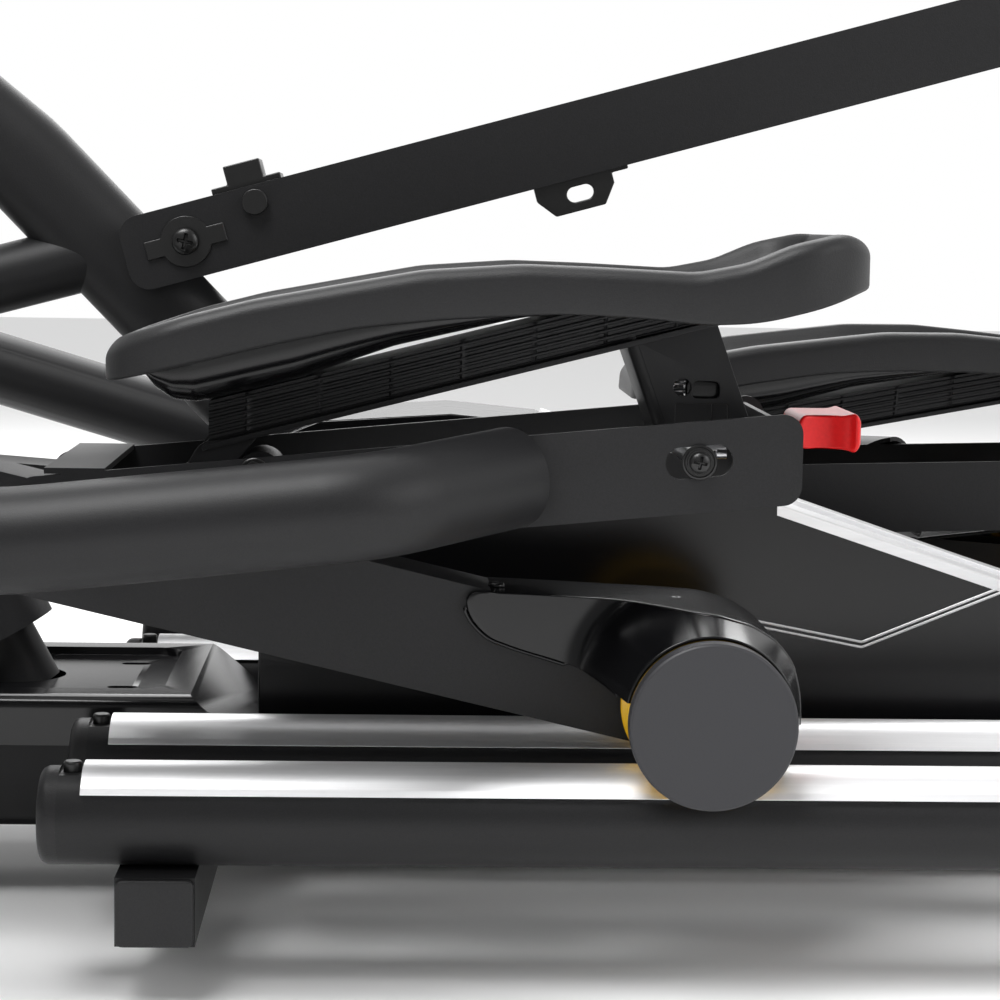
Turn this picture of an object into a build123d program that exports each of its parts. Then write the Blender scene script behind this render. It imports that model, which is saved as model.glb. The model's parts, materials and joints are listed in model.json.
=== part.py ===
from build123d import *
import math
import os

# Elliptical trainer, millimetres. +X is the rear, -X the front, +Z up, left is -Y.
# The origin is on the floor under the middle of the machine.

# overall sizes
machine_length = 1810
stabilizer_width = 640
stabilizer_depth = 60
stabilizer_height = 50
foot_height = 14
spine_width = 80
spine_height = 60
console_height = 1520

wheel_radius = 28
wheel_width = 22
wheel_y = 230

# rails and rollers
rail_diameter = 50
rail_height = 90
rail_inner_y = 143
rail_outer_y = 273
rail_front_x = 37
rail_rear_x = 852
rail_wall = 3
strip_thickness = 3
strip_edge_height = 15
roller_groove_radius = 26.5
roller_flange_radius = 41
roller_half_width = 27
roller_clearance = 0.5
axle_radius = 8
running_clearance = 0.05
disc_radius = 42
disc_thickness = 12

# foot beams and crank
beam_length = 1173
beam_height = 60
beam_width = 50
beam_y = 208
left_roller_x = 363
left_pin_height = 412
crank_height = 320
crank_radius = 170
crank_disc_radius = 200
crank_disc_thickness = 10
crank_lane_y = 92
pin_radius = 15
pivot_gap = 6

# pedal arms and swing arms
channel_front_x = 16
channel_rear_x = 408
channel_height = 46
channel_width = 150
channel_slope = 5.43
channel_front_top = 262
wall = 3
arm_pivot_x = 134
arm_pivot_z = 260
arm_tube_radius = 25.5
arm_tube_y = 350
arm_front_x = -435
arm_front_z = 300
arm_pin_radius = 6
hinge_pin_radius = 5
swing_pivot_x = -285
swing_pivot_z = 1150
swing_y = 400
swing_tube_radius = 19
swing_axle_radius = 12
grip_radius = 23

# pedals
hinge_x = 95
hinge_z = 254
pedal_slope = 13
pedal_width = 176
lock_x = 356
lock_z = 274

# centre and drive housings
housing_half_width = 60
housing_wall = 3
drive_half_width = 78
drive_front_x = -895
drive_rear_x = -395
drive_top_z = 590

# mast, boom and seat
mast_wide = 60
mast_thick = 44
boom_slope = 15.5
boom_pin_x = 80
boom_pin_z = 378
boom_height = 44
boom_half_width = 35
boom_length = 640

spine_bottom = foot_height + 16
spine_top = spine_bottom + spine_height
roller_z = rail_height + rail_diameter / 2 + strip_thickness + roller_groove_radius + roller_clearance

# ---- linkage: where both sides stand when the left roller is forward ----
left_pin_x = left_roller_x - math.sqrt(beam_length**2 - (left_pin_height - roller_z) ** 2)
pin_rise = left_pin_height - crank_height
crank_x = left_pin_x + math.sqrt(crank_radius**2 - pin_rise**2)
right_pin_x = 2 * crank_x - left_pin_x
right_pin_z = crank_height - pin_rise
right_roller_x = right_pin_x + math.sqrt(beam_length**2 - (right_pin_z - roller_z) ** 2)
left_pitch = math.degrees(math.asin((left_pin_height - roller_z) / beam_length))
right_pitch = math.degrees(math.asin((right_pin_z - roller_z) / beam_length))
pitch_change = right_pitch - left_pitch
stride = right_roller_x - left_roller_x


def turned(x, z, degrees):
    """A point (x, z) turned about +Y through the origin."""
    a = math.radians(degrees)
    return x * math.cos(a) + z * math.sin(a), z * math.cos(a) - x * math.sin(a)


pivot_dx, pivot_dz = turned(arm_pivot_x - left_roller_x, arm_pivot_z - roller_z, pitch_change)
right_pivot_x = right_roller_x + pivot_dx
right_pivot_z = roller_z + pivot_dz
arm_reach = math.hypot(arm_pivot_x - arm_front_x, arm_front_z - arm_pivot_z)
swing_length = math.hypot(arm_front_x - swing_pivot_x, arm_front_z - swing_pivot_z)
between = math.hypot(right_pivot_x - swing_pivot_x, right_pivot_z - swing_pivot_z)
corner = math.acos((swing_length**2 + between**2 - arm_reach**2) / (2 * swing_length * between))
bearing = math.atan2(right_pivot_z - swing_pivot_z, right_pivot_x - swing_pivot_x) - corner
right_front_x = swing_pivot_x + swing_length * math.cos(bearing)
right_front_z = swing_pivot_z + swing_length * math.sin(bearing)
left_arm_angle = math.degrees(math.atan2(arm_front_z - arm_pivot_z, arm_pivot_x - arm_front_x))
right_arm_angle = math.degrees(math.atan2(right_front_z - right_pivot_z, right_pivot_x - right_front_x))
arm_change = right_arm_angle - left_arm_angle
left_swing_angle = math.degrees(math.atan2(arm_front_z - swing_pivot_z, arm_front_x - swing_pivot_x))
swing_change = -(math.degrees(bearing) - left_swing_angle)
print("stride m", round(stride / 1000, 5))
print("right roller x", round(right_roller_x, 3), "roller z", roller_z, "crank x", round(crank_x, 3))
print("beam rad per m", round(math.radians(pitch_change) / stride * 1000, 5))
print("arm rad per m", round(math.radians(arm_change - pitch_change) / stride * 1000, 5))
print("swing rad per m", round(math.radians(swing_change) / stride * 1000, 5))
print("right pivot", round(right_pivot_x, 2), round(right_pivot_z, 2))
print("right arm turn", round(arm_change, 3))

mirror_y = Plane.XZ


def moved(part, x0, z0, degrees, x1, z1):
    """The right-hand copy: mirrored, turned about its pivot and set where that pivot stands."""
    copy = mirror(part, about=mirror_y)
    return Pos(x1, 0, z1) * Rot(0, degrees, 0) * Pos(-x0, 0, -z0) * copy


def right_on_roller(part):
    return moved(part, left_roller_x, roller_z, 0, right_roller_x, roller_z)


def right_on_beam(part):
    return moved(part, left_roller_x, roller_z, pitch_change, right_roller_x, roller_z)


def right_on_arm(part):
    return moved(part, arm_pivot_x, arm_pivot_z, arm_change, right_pivot_x, right_pivot_z)


def right_on_swing(part):
    return moved(part, swing_pivot_x, swing_pivot_z, swing_change, swing_pivot_x, swing_pivot_z)


os.makedirs("parts", exist_ok=True)


def save(part, node):
    part.label = node
    export_step(part, f"parts/{node}.step")


# ---------------------------------------------------------------- base frame
half_length = machine_length / 2
front_bar_x = -half_length + 2 * wheel_radius + 4 + stabilizer_depth / 2
rear_bar_x = half_length - stabilizer_depth / 2
bar_places = (front_bar_x, rear_bar_x)
support_x = (rail_front_x + 50, rail_rear_x - 90)
support_depth = 40
support_half = rail_outer_y + 30
frame_wall = 3
support_height = rail_height - rail_diameter / 2

with BuildPart() as main_frame:
    with BuildSketch(Plane.YZ.offset(front_bar_x + stabilizer_depth / 2)) as section:
        with Locations((0, spine_bottom + spine_height / 2)):
            RectangleRounded(spine_width, spine_height, 6)
            RectangleRounded(spine_width - 2 * frame_wall, spine_height - 2 * frame_wall, 3, mode=Mode.SUBTRACT)
    extrude(amount=rear_bar_x - front_bar_x - stabilizer_depth)
    for x in support_x:
        with BuildSketch(Plane.XZ.offset(-support_half)) as section:
            with Locations((x, (support_height + spine_bottom) / 2)):
                Rectangle(support_depth, support_height - spine_bottom)
                Rectangle(support_depth - 2 * frame_wall, support_height - spine_bottom - 2 * frame_wall, mode=Mode.SUBTRACT)
        extrude(amount=2 * support_half)
main_frame.part.label = "main_frame"
export_step(main_frame.part, "parts/main_frame.step")

with BuildPart() as stabilizers:
    for x in bar_places:
        with BuildSketch(Plane.XZ.offset(-stabilizer_width / 2)) as section:
            with Locations((x, foot_height + stabilizer_height / 2)):
                RectangleRounded(stabilizer_depth, stabilizer_height, 12)
                RectangleRounded(stabilizer_depth - 6, stabilizer_height - 6, 9, mode=Mode.SUBTRACT)
        extrude(amount=stabilizer_width)
stabilizers.part.label = "stabilizers"
export_step(stabilizers.part, "parts/stabilizers.step")

cap_length = 26
with BuildPart() as stabilizer_caps:
    for x in bar_places:
        for side in (-1, 1):
            with BuildSketch(Plane.XZ.offset(-side * stabilizer_width / 2)) as section:
                with Locations((x, foot_height + stabilizer_height / 2)):
                    RectangleRounded(stabilizer_depth, stabilizer_height, 12)
            extrude(amount=-side * cap_length)
    fillet(stabilizer_caps.faces().group_by(Axis.Y)[0].edges(), 8)
    fillet(stabilizer_caps.faces().group_by(Axis.Y)[-1].edges(), 8)
stabilizer_caps.part.label = "stabilizer_caps"
export_step(stabilizer_caps.part, "parts/stabilizer_caps.step")

foot_radius = 22
with BuildPart() as levelling_feet:
    foot_y = stabilizer_width / 2 - 40
    with Locations(*[(x, y, 0) for x in bar_places for y in (-foot_y, foot_y)]):
        Cylinder(foot_radius, foot_height, align=(Align.CENTER, Align.CENTER, Align.MIN))
    chamfer(levelling_feet.edges().group_by(Axis.Z)[0], 2)
levelling_feet.part.label = "levelling_feet"
export_step(levelling_feet.part, "parts/levelling_feet.step")

# ---------------------------------------------------------------- rails
rail_rows = (-rail_outer_y, -rail_inner_y, rail_inner_y, rail_outer_y)
rail_length = rail_rear_x - rail_front_x
with BuildPart() as rail_tubes:
    with BuildSketch(Plane.YZ.offset(rail_front_x)) as section:
        with Locations(*[(y, rail_height) for y in rail_rows]):
            Circle(rail_diameter / 2)
            Circle(rail_diameter / 2 - rail_wall, mode=Mode.SUBTRACT)
    extrude(amount=rail_length)
    strip_seat = rail_diameter / 2 - rail_wall + 0.5
    with Locations(*[(rail_front_x + rail_length / 2, y, rail_height + strip_seat + 10) for y in rail_rows]):
        Box(rail_length, rail_diameter, 20, mode=Mode.SUBTRACT)
rail_tubes.part.label = "rail_tubes"
export_step(rail_tubes.part, "parts/rail_tubes.step")

strip_radius = rail_diameter / 2 + strip_thickness
strip_gap = 0.2
with BuildPart() as rail_strips:
    with BuildSketch(Plane.YZ.offset(rail_front_x + 12)) as section:
        with Locations(*[(y, rail_height) for y in rail_rows]):
            Circle(strip_radius)
        with Locations(*[(y, rail_height + strip_edge_height - 50) for y in rail_rows]):
            Rectangle(2 * strip_radius + 4, 100, mode=Mode.SUBTRACT)
    extrude(amount=rail_length - 24)
    with BuildSketch(Plane.YZ.offset(rail_front_x)) as tube_room:
        with Locations(*[(y, rail_height) for y in rail_rows]):
            Circle(rail_diameter / 2 + strip_gap)
        with Locations(*[(y, rail_height + strip_seat + 50) for y in rail_rows]):
            Rectangle(2 * strip_radius + 4, 100, mode=Mode.SUBTRACT)
    extrude(amount=rail_length, mode=Mode.SUBTRACT)
rail_strips.part.label = "rail_strips"
export_step(rail_strips.part, "parts/rail_strips.step")

plug_length = 10
with BuildPart() as rail_plugs:
    for x, way in ((rail_front_x, -1), (rail_rear_x, 1)):
        for y in rail_rows:
            with BuildSketch(Plane.YZ.offset(x)) as section:
                with Locations((y, rail_height)):
                    Circle(rail_diameter / 2)
            extrude(amount=way * plug_length)
    fillet(rail_plugs.faces().group_by(Axis.X)[0].edges(), 5)
    fillet(rail_plugs.faces().group_by(Axis.X)[-1].edges(), 5)
rail_plugs.part.label = "rail_plugs"
export_step(rail_plugs.part, "parts/rail_plugs.step")

screw_z = rail_height + strip_seat
with BuildPart() as rail_screws:
    for x in (rail_front_x + 6, rail_rear_x - 6):
        for y in rail_rows:
            with Locations((x, y, screw_z)):
                Cylinder(4.8, 5.5, align=(Align.CENTER, Align.CENTER, Align.MIN))
    fillet(rail_screws.edges().group_by(Axis.Z)[-1], 1.5)
rail_screws.part.label = "rail_screws"
export_step(rail_screws.part, "parts/rail_screws.step")

# ---------------------------------------------------------------- posts and mast
post_angle = 62
post_radius = 26
post_foot_x = -14
node_x = swing_pivot_x
node_z = spine_top + (post_foot_x - node_x) * math.tan(math.radians(post_angle))
mast_foot_x = 150
mast_foot_z = 250
mast_bend_x = -20
mast_bend_z = 425
mast_top = console_height - 130

with BuildPart() as mast:
    with BuildLine(Plane.XZ) as path:
        FilletPolyline(
            (mast_foot_x, mast_foot_z),
            (mast_bend_x, mast_bend_z),
            (node_x, node_z + 40),
            (node_x, mast_top),
            radius=90,
        )
    with BuildSketch(Plane(path.line @ 0, x_dir=(0, 1, 0), z_dir=path.line % 0)) as section:
        Ellipse(mast_thick / 2, mast_wide / 2)
        Ellipse(mast_thick / 2 - frame_wall, mast_wide / 2 - frame_wall, mode=Mode.SUBTRACT)
    sweep()
    with BuildSketch(Plane.XZ) as axle_hole:
        with Locations((swing_pivot_x, swing_pivot_z)):
            Circle(swing_axle_radius)
    extrude(amount=60, both=True, mode=Mode.SUBTRACT)
mast.part.label = "mast"
export_step(mast.part, "parts/mast.step")

post_run = (node_z - spine_top) / math.sin(math.radians(post_angle)) + 30
post_plane = Plane(
    (post_foot_x, 0, spine_top),
    x_dir=(0, 1, 0),
    z_dir=(-math.cos(math.radians(post_angle)), 0, math.sin(math.radians(post_angle))),
)
with BuildPart() as front_post:
    with BuildSketch(post_plane.offset(16)) as section:
        Circle(post_radius)
        Circle(post_radius - frame_wall, mode=Mode.SUBTRACT)
    extrude(amount=post_run - 16)
    add(mast.part, mode=Mode.SUBTRACT)
save(front_post.part.solids().sort_by(SortBy.VOLUME)[-1], "front_post")

with BuildPart() as post_boot:
    with BuildSketch(post_plane.offset(52)) as section:
        Circle(post_radius + 14)
        Circle(post_radius, mode=Mode.SUBTRACT)
    extrude(amount=34)
    fillet(post_boot.edges().filter_by(GeomType.CIRCLE).sort_by(Axis.Z)[-1], 6)
post_boot.part.label = "post_boot"
export_step(post_boot.part, "parts/post_boot.step")

strut_start = (20, 0, 368)
strut_angle = 15
with BuildPart() as mast_strut:
    with BuildSketch(
        Plane(
            strut_start,
            x_dir=(0, 1, 0),
            z_dir=(-math.cos(math.radians(strut_angle)), 0, -math.sin(math.radians(strut_angle))),
        )
    ) as section:
        Circle(20)
    extrude(amount=170)
    add(mast.part, mode=Mode.SUBTRACT)
    with BuildSketch(post_plane) as post_end:
        Circle(post_radius)
    extrude(amount=post_run, mode=Mode.SUBTRACT)
save(mast_strut.part.solids().sort_by(SortBy.VOLUME)[-1], "mast_strut")

# ---------------------------------------------------------------- base cover
cover_front_x = -190
cover_rear_x = 122
cover_half_width = 100
cover_top = 120
slot_x = 44
with BuildPart() as base_cover:
    with BuildSketch(Plane.XZ.offset(-cover_half_width)) as side:
        with BuildLine() as outline:
            Polyline(
                (cover_front_x, spine_top + 1),
                (cover_front_x, cover_top - 14),
                (cover_front_x + 20, cover_top),
                (cover_rear_x - 34, cover_top),
                (cover_rear_x, spine_top + 1),
                close=True,
            )
        make_face()
    extrude(amount=2 * cover_half_width)
    fillet(base_cover.edges().filter_by(Axis.X).group_by(Axis.Z)[-1], 8)
    with BuildSketch(Plane.XY.offset(cover_top)) as dish:
        with Locations(((cover_front_x + cover_rear_x) / 2 + 30, 0)):
            RectangleRounded(150, 2 * cover_half_width - 50, 16)
    extrude(amount=-5, mode=Mode.SUBTRACT)
    with BuildSketch(Plane.XY.offset(cover_top)) as slots:
        with Locations((slot_x, -42), (slot_x, 42)):
            SlotOverall(18, 8)
    extrude(amount=-20, mode=Mode.SUBTRACT)
    with BuildSketch(post_plane) as clearance:
        Circle(post_radius + 3)
    extrude(amount=90, mode=Mode.SUBTRACT)
base_cover.part.label = "base_cover"
export_step(base_cover.part, "parts/base_cover.step")

# ---------------------------------------------------------------- centre housing
housing_points = (
    (125, spine_top + 1),
    (125, 262),
    (160, 276),
    (236, 281),
    (290, 276),
    (430, 229),
    (550, 189),
    (790, 112),
    (815, spine_top + 1),
)


def housing_shell(side):
    with BuildPart() as shell:
        with BuildSketch(Plane.XZ) as outline:
            with BuildLine() as edge:
                Polyline(*housing_points, close=True)
            make_face()
        extrude(amount=-side * housing_half_width)
        with BuildSketch(Plane.XZ) as inside:
            with BuildLine() as edge:
                Polyline(*housing_points, close=True)
            make_face()
            offset(amount=-housing_wall, kind=Kind.INTERSECTION, mode=Mode.REPLACE)
        extrude(amount=-side * (housing_half_width - housing_wall), mode=Mode.SUBTRACT)
        with BuildSketch(Plane(path.line @ 0, x_dir=(0, 1, 0), z_dir=path.line % 0).offset(-60)) as mast_hole:
            Ellipse(mast_thick / 2 + 2, mast_wide / 2 + 2)
        extrude(amount=160, mode=Mode.SUBTRACT)
    return shell.part


centre_housing_left = housing_shell(-1)
centre_housing_right = housing_shell(1)
save(centre_housing_left, "centre_housing_left")
save(centre_housing_right, "centre_housing_right")

with BuildPart() as housing_trim:
    with BuildSketch(Plane.XZ.offset(-14)) as ribbon:
        with BuildLine() as edge:
            Polyline((290, 276.2), (430, 229.2), (550, 189.2), (780, 115.4), (780, 119.4), (551, 193), (431, 233), (292, 280), close=True)
        make_face()
    extrude(amount=28)
housing_trim.part.label = "housing_trim"
export_step(housing_trim.part, "parts/housing_trim.step")

# ---------------------------------------------------------------- drive housing
hub_hole = 26


def drive_shell(side):
    with BuildPart() as shell:
        for inset, floor_z in ((0, spine_top + 1), (4, spine_top - 80)):
            with BuildSketch(Plane.XZ) as outline:
                with BuildLine() as edge:
                    FilletPolyline(
                        (drive_front_x + inset, floor_z),
                        (drive_front_x + inset, 430),
                        (-760, drive_top_z - inset),
                        (-520, drive_top_z - 20 - inset),
                        (drive_rear_x - inset, 360),
                        (drive_rear_x - inset, floor_z),
                        close=True,
                        radius=40 - inset,
                    )
                make_face()
            depth = drive_half_width - inset
            extrude(amount=-side * depth, mode=Mode.ADD if inset == 0 else Mode.SUBTRACT)
        with BuildSketch(Plane.XZ) as hub:
            with Locations((crank_x, crank_height)):
                Circle(hub_hole)
        extrude(amount=drive_half_width + 5, both=True, mode=Mode.SUBTRACT)
    return shell.part


save(drive_shell(-1), "drive_housing_left")
save(drive_shell(1), "drive_housing_right")

# ---------------------------------------------------------------- crank, belt and flywheel
pulley_radius = 130
flywheel_x = -778
flywheel_z = 198
shaft_radius = 12
pin_end_y = beam_y - beam_width / 2 - 5 - pivot_gap

with BuildPart() as crank_shaft:
    with BuildSketch(Plane.XZ.offset(-crank_lane_y)) as section:
        with Locations((crank_x, crank_height)):
            Circle(shaft_radius)
    extrude(amount=2 * crank_lane_y)
crank_shaft.part.label = "crank_shaft"
export_step(crank_shaft.part, "parts/crank_shaft.step")

with BuildPart() as crank_discs:
    for side, pin_x, pin_z in ((-1, left_pin_x, left_pin_height), (1, right_pin_x, right_pin_z)):
        with BuildSketch(Plane.XZ.offset(-side * crank_lane_y)) as plate:
            with Locations((crank_x, crank_height)):
                Circle(crank_disc_radius)
        extrude(amount=-side * crank_disc_thickness)
        with BuildSketch(Plane.XZ.offset(-side * (crank_lane_y + crank_disc_thickness))) as boss:
            with Locations((pin_x, pin_z)):
                Circle(pin_radius)
        extrude(amount=-side * (pin_end_y - crank_lane_y - crank_disc_thickness))
crank_discs.part.label = "crank_discs"
export_step(crank_discs.part, "parts/crank_discs.step")

with BuildPart() as drive_pulley:
    with BuildSketch(Plane.XZ.offset(-12)) as section:
        with Locations((crank_x, crank_height)):
            Circle(pulley_radius)
            Circle(shaft_radius, mode=Mode.SUBTRACT)
    extrude(amount=24)
drive_pulley.part.label = "drive_pulley"
export_step(drive_pulley.part, "parts/drive_pulley.step")

flywheel_radius = 90
hub_radius = 22
fly_axle_radius = 8
with BuildPart() as flywheel:
    with BuildSketch(Plane.XZ.offset(24)) as rim:
        with Locations((flywheel_x, flywheel_z)):
            Circle(flywheel_radius)
    extrude(amount=30)
    with BuildSketch(Plane.XZ.offset(-12)) as hub:
        with Locations((flywheel_x, flywheel_z)):
            Circle(hub_radius)
    extrude(amount=36)
    with BuildSketch(Plane.XZ) as bore:
        with Locations((flywheel_x, flywheel_z)):
            Circle(fly_axle_radius + running_clearance)
    extrude(amount=80, both=True, mode=Mode.SUBTRACT)
flywheel.part.label = "flywheel"
export_step(flywheel.part, "parts/flywheel.step")

bearing_y = 60
plate_thickness = 6
with BuildPart() as drive_frame:
    for side in (-1, 1):
        with BuildSketch(Plane.XZ.offset(-side * bearing_y)) as plate:
            with BuildLine() as edge:
                Polyline(
                    (flywheel_x - 30, spine_top),
                    (flywheel_x - 30, flywheel_z + 25),
                    (crank_x - 40, crank_height + 40),
                    (crank_x + 40, crank_height + 40),
                    (crank_x + 60, spine_top),
                    close=True,
                )
            make_face()
            with Locations((crank_x, crank_height)):
                Circle(shaft_radius + running_clearance, mode=Mode.SUBTRACT)
        extrude(amount=-side * plate_thickness)
    with Locations(((flywheel_x + crank_x) / 2 + 15, 0, spine_top + 3)):
        Box(crank_x - flywheel_x + 90, 2 * bearing_y, 6)
    with BuildSketch(Plane.XZ.offset(-bearing_y)) as fly_axle:
        with Locations((flywheel_x, flywheel_z)):
            Circle(fly_axle_radius)
    extrude(amount=2 * bearing_y)
drive_frame.part.label = "drive_frame"
export_step(drive_frame.part, "parts/drive_frame.step")

belt_clearance = 0.3
belt_thickness = 2.5
centres = math.hypot(crank_x - flywheel_x, crank_height - flywheel_z)
belt_angle = math.degrees(math.atan2(crank_height - flywheel_z, crank_x - flywheel_x))
belt_plane = Plane(
    (flywheel_x, 10, flywheel_z),
    x_dir=(math.cos(math.radians(belt_angle)), 0, math.sin(math.radians(belt_angle))),
    z_dir=(0, -1, 0),
)


def belt_outline(extra):
    """The loop round both pulleys, larger by extra: two circles and the band between their tangents."""
    small = hub_radius + extra
    large = pulley_radius + extra
    lean = math.asin((large - small) / centres)
    with BuildSketch(belt_plane) as loop:
        Circle(small)
        with Locations((centres, 0)):
            Circle(large)
        with BuildLine() as edge:
            Polyline(
                (-small * math.sin(lean), small * math.cos(lean)),
                (centres - large * math.sin(lean), large * math.cos(lean)),
                (centres - large * math.sin(lean), -large * math.cos(lean)),
                (-small * math.sin(lean), -small * math.cos(lean)),
                close=True,
            )
        make_face()
    return loop.sketch


with BuildPart() as drive_belt:
    extrude(belt_outline(belt_clearance + belt_thickness), amount=20, dir=(0, -1, 0))
    extrude(belt_outline(belt_clearance), amount=20, dir=(0, -1, 0), mode=Mode.SUBTRACT)
drive_belt.part.label = "drive_belt"
export_step(drive_belt.part, "parts/drive_belt.step")

# ---------------------------------------------------------------- transport wheels
wheel_x = -half_length + wheel_radius
wheel_z = wheel_radius + 4
wheel_axle_radius = 5
with BuildPart() as wheel_brackets:
    for side in (-1, 1):
        for gap in (-1, 1):
            y = side * wheel_y + gap * (wheel_width / 2 + 1 + 2)
            with BuildSketch(Plane.XZ.offset(-y - 2)) as ear:
                with Locations((wheel_x + 16, wheel_z)):
                    Rectangle(wheel_radius + 4 - 16 + 28 + 4, 20)
            extrude(amount=4)
        with BuildSketch(Plane.XZ.offset(-side * wheel_y - wheel_width / 2 - 3)) as pin:
            with Locations((wheel_x, wheel_z)):
                Circle(wheel_axle_radius)
        extrude(amount=wheel_width + 6)
    add(stabilizers.part, mode=Mode.SUBTRACT)
wheel_brackets.part.label = "wheel_brackets"
export_step(wheel_brackets.part, "parts/wheel_brackets.step")

for side, node in ((-1, "transport_wheel_left"), (1, "transport_wheel_right")):
    with BuildPart() as transport_wheel:
        with BuildSketch(Plane.XZ.offset(-side * wheel_y - wheel_width / 2)) as disc:
            with Locations((wheel_x, wheel_z)):
                Circle(wheel_radius)
                Circle(wheel_axle_radius + running_clearance, mode=Mode.SUBTRACT)
        extrude(amount=wheel_width)
    save(transport_wheel.part, node)

# ---------------------------------------------------------------- swing axle and console
swing_half = swing_y + 20
with BuildPart() as swing_axle:
    with BuildSketch(Plane.XZ.offset(-swing_half)) as section:
        with Locations((swing_pivot_x, swing_pivot_z)):
            Circle(swing_axle_radius)
    extrude(amount=2 * swing_half)
swing_axle.part.label = "swing_axle"
export_step(swing_axle.part, "parts/swing_axle.step")

console_width = 300
console_depth = 60
console_tall = 210
console_tilt = 25
console_plane = Plane(
    (swing_pivot_x + 20, 0, mast_top + 30),
    x_dir=(0, 1, 0),
    z_dir=(math.cos(math.radians(console_tilt)), 0, math.sin(math.radians(console_tilt))),
)
with BuildPart() as console_housing:
    with BuildSketch(console_plane) as face:
        RectangleRounded(console_width, console_tall, 30)
    extrude(amount=console_depth / 2)
    with BuildSketch(console_plane) as back:
        RectangleRounded(console_width - 50, console_tall - 60, 24)
    extrude(amount=-console_depth / 2)
    fillet(console_housing.faces().sort_by(Axis((0, 0, 0), tuple(console_plane.z_dir)))[-1].edges(), 6)
    with BuildSketch(console_plane.offset(console_depth / 2)) as recess:
        with Locations((0, 24)):
            RectangleRounded(240, 120, 8)
    extrude(amount=-4, mode=Mode.SUBTRACT)
    with BuildSketch(console_plane.offset(console_depth / 2)) as button_holes:
        with Locations((-40, -66), (40, -66)):
            Circle(12.3)
    extrude(amount=-12, mode=Mode.SUBTRACT)
    with BuildSketch(Plane((node_x, 0, mast_top - 60), x_dir=(1, 0, 0), z_dir=(0, 0, 1))) as socket:
        Ellipse(mast_wide / 2 + 0.2, mast_thick / 2 + 0.2)
    extrude(amount=60.2, mode=Mode.SUBTRACT)
console_housing.part.label = "console_housing"
export_step(console_housing.part, "parts/console_housing.step")

with BuildPart() as console_screen:
    with BuildSketch(console_plane.offset(console_depth / 2 - 4)) as glass:
        with Locations((0, 24)):
            RectangleRounded(239, 119, 7.5)
    extrude(amount=3)
console_screen.part.label = "console_screen"
export_step(console_screen.part, "parts/console_screen.step")

for button_x, node in ((-40, "start_button"), (40, "stop_button")):
    with BuildPart() as button:
        with BuildSketch(console_plane.offset(console_depth / 2 - 8)) as disc:
            with Locations((button_x, -66)):
                Circle(12)
        extrude(amount=11)
    save(button.part, node)

bar_radius = 14
with BuildPart() as fixed_handlebar:
    with BuildLine() as bar_path:
        FilletPolyline(
            (swing_pivot_x + 120, -190, 1230),
            (swing_pivot_x + 30, -190, 1215),
            (swing_pivot_x + 30, 190, 1215),
            (swing_pivot_x + 120, 190, 1230),
            radius=45,
        )
    with BuildSketch(Plane(bar_path.line @ 0, z_dir=bar_path.line % 0)) as section:
        Circle(bar_radius)
    sweep()
    with Locations((swing_pivot_x + 27, 0, 1215)):
        Box(30, 60, 34)
    with BuildSketch(Plane((node_x, 0, 1180), x_dir=(1, 0, 0), z_dir=(0, 0, 1))) as post_hole:
        Ellipse(mast_wide / 2, mast_thick / 2)
    extrude(amount=70, mode=Mode.SUBTRACT)
fixed_handlebar.part.label = "fixed_handlebar"
export_step(fixed_handlebar.part, "parts/fixed_handlebar.step")

# ---------------------------------------------------------------- boom and seat
slope = math.radians(boom_slope)
boom_plane = Plane((boom_pin_x, 0, boom_pin_z), x_dir=(math.cos(slope), 0, math.sin(slope)), z_dir=(0, -1, 0))
boom_tail = 37
seat_station = 560
seat_tube_radius = 22
seat_bore = 16.05
seat_x = boom_pin_x + seat_station * math.cos(slope)
seat_z = boom_pin_z + seat_station * math.sin(slope)
with BuildPart() as boom:
    with BuildSketch(boom_plane) as side:
        with Locations(((boom_length - boom_tail) / 2, 0)):
            RectangleRounded(boom_length + boom_tail, boom_height, 12)
    extrude(amount=boom_half_width, both=True)
    with BuildSketch(boom_plane) as hollow:
        with Locations((boom_length / 2 - boom_tail, -wall - 5)):
            Rectangle(boom_length + 200, boom_height + 10)
    extrude(amount=boom_half_width - wall, both=True, mode=Mode.SUBTRACT)
    with BuildSketch(Plane.XY.offset(seat_z - 14)) as socket:
        with Locations((seat_x, 0)):
            Circle(seat_tube_radius)
    extrude(amount=190)
    with BuildSketch(Plane.XY.offset(seat_z - 20)) as bore:
        with Locations((seat_x, 0)):
            Circle(seat_bore)
    extrude(amount=240, mode=Mode.SUBTRACT)
    with BuildSketch(boom_plane) as mast_gap:
        with Locations((-50, boom_height / 2)):
            Rectangle(100, 60)
    extrude(amount=boom_half_width - wall, both=True, mode=Mode.SUBTRACT)
boom.part.label = "boom"
export_step(boom.part, "parts/boom.step")

with BuildPart() as boom_fasteners:
    for side in (-1, 1):
        face_plane = boom_plane.offset(-side * boom_half_width)
        with BuildSketch(face_plane) as washer:
            Circle(15)
            Rectangle(48, 11)
        extrude(amount=-side * 2)
        with BuildSketch(face_plane) as screw:
            Circle(5.6)
        extrude(amount=-side * 7)
        with BuildSketch(face_plane) as bolt:
            with Locations((45, 12)):
                Circle(7.5)
        extrude(amount=-side * 6)
boom_fasteners.part.label = "boom_fasteners"
export_step(boom_fasteners.part, "parts/boom_fasteners.step")

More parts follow.
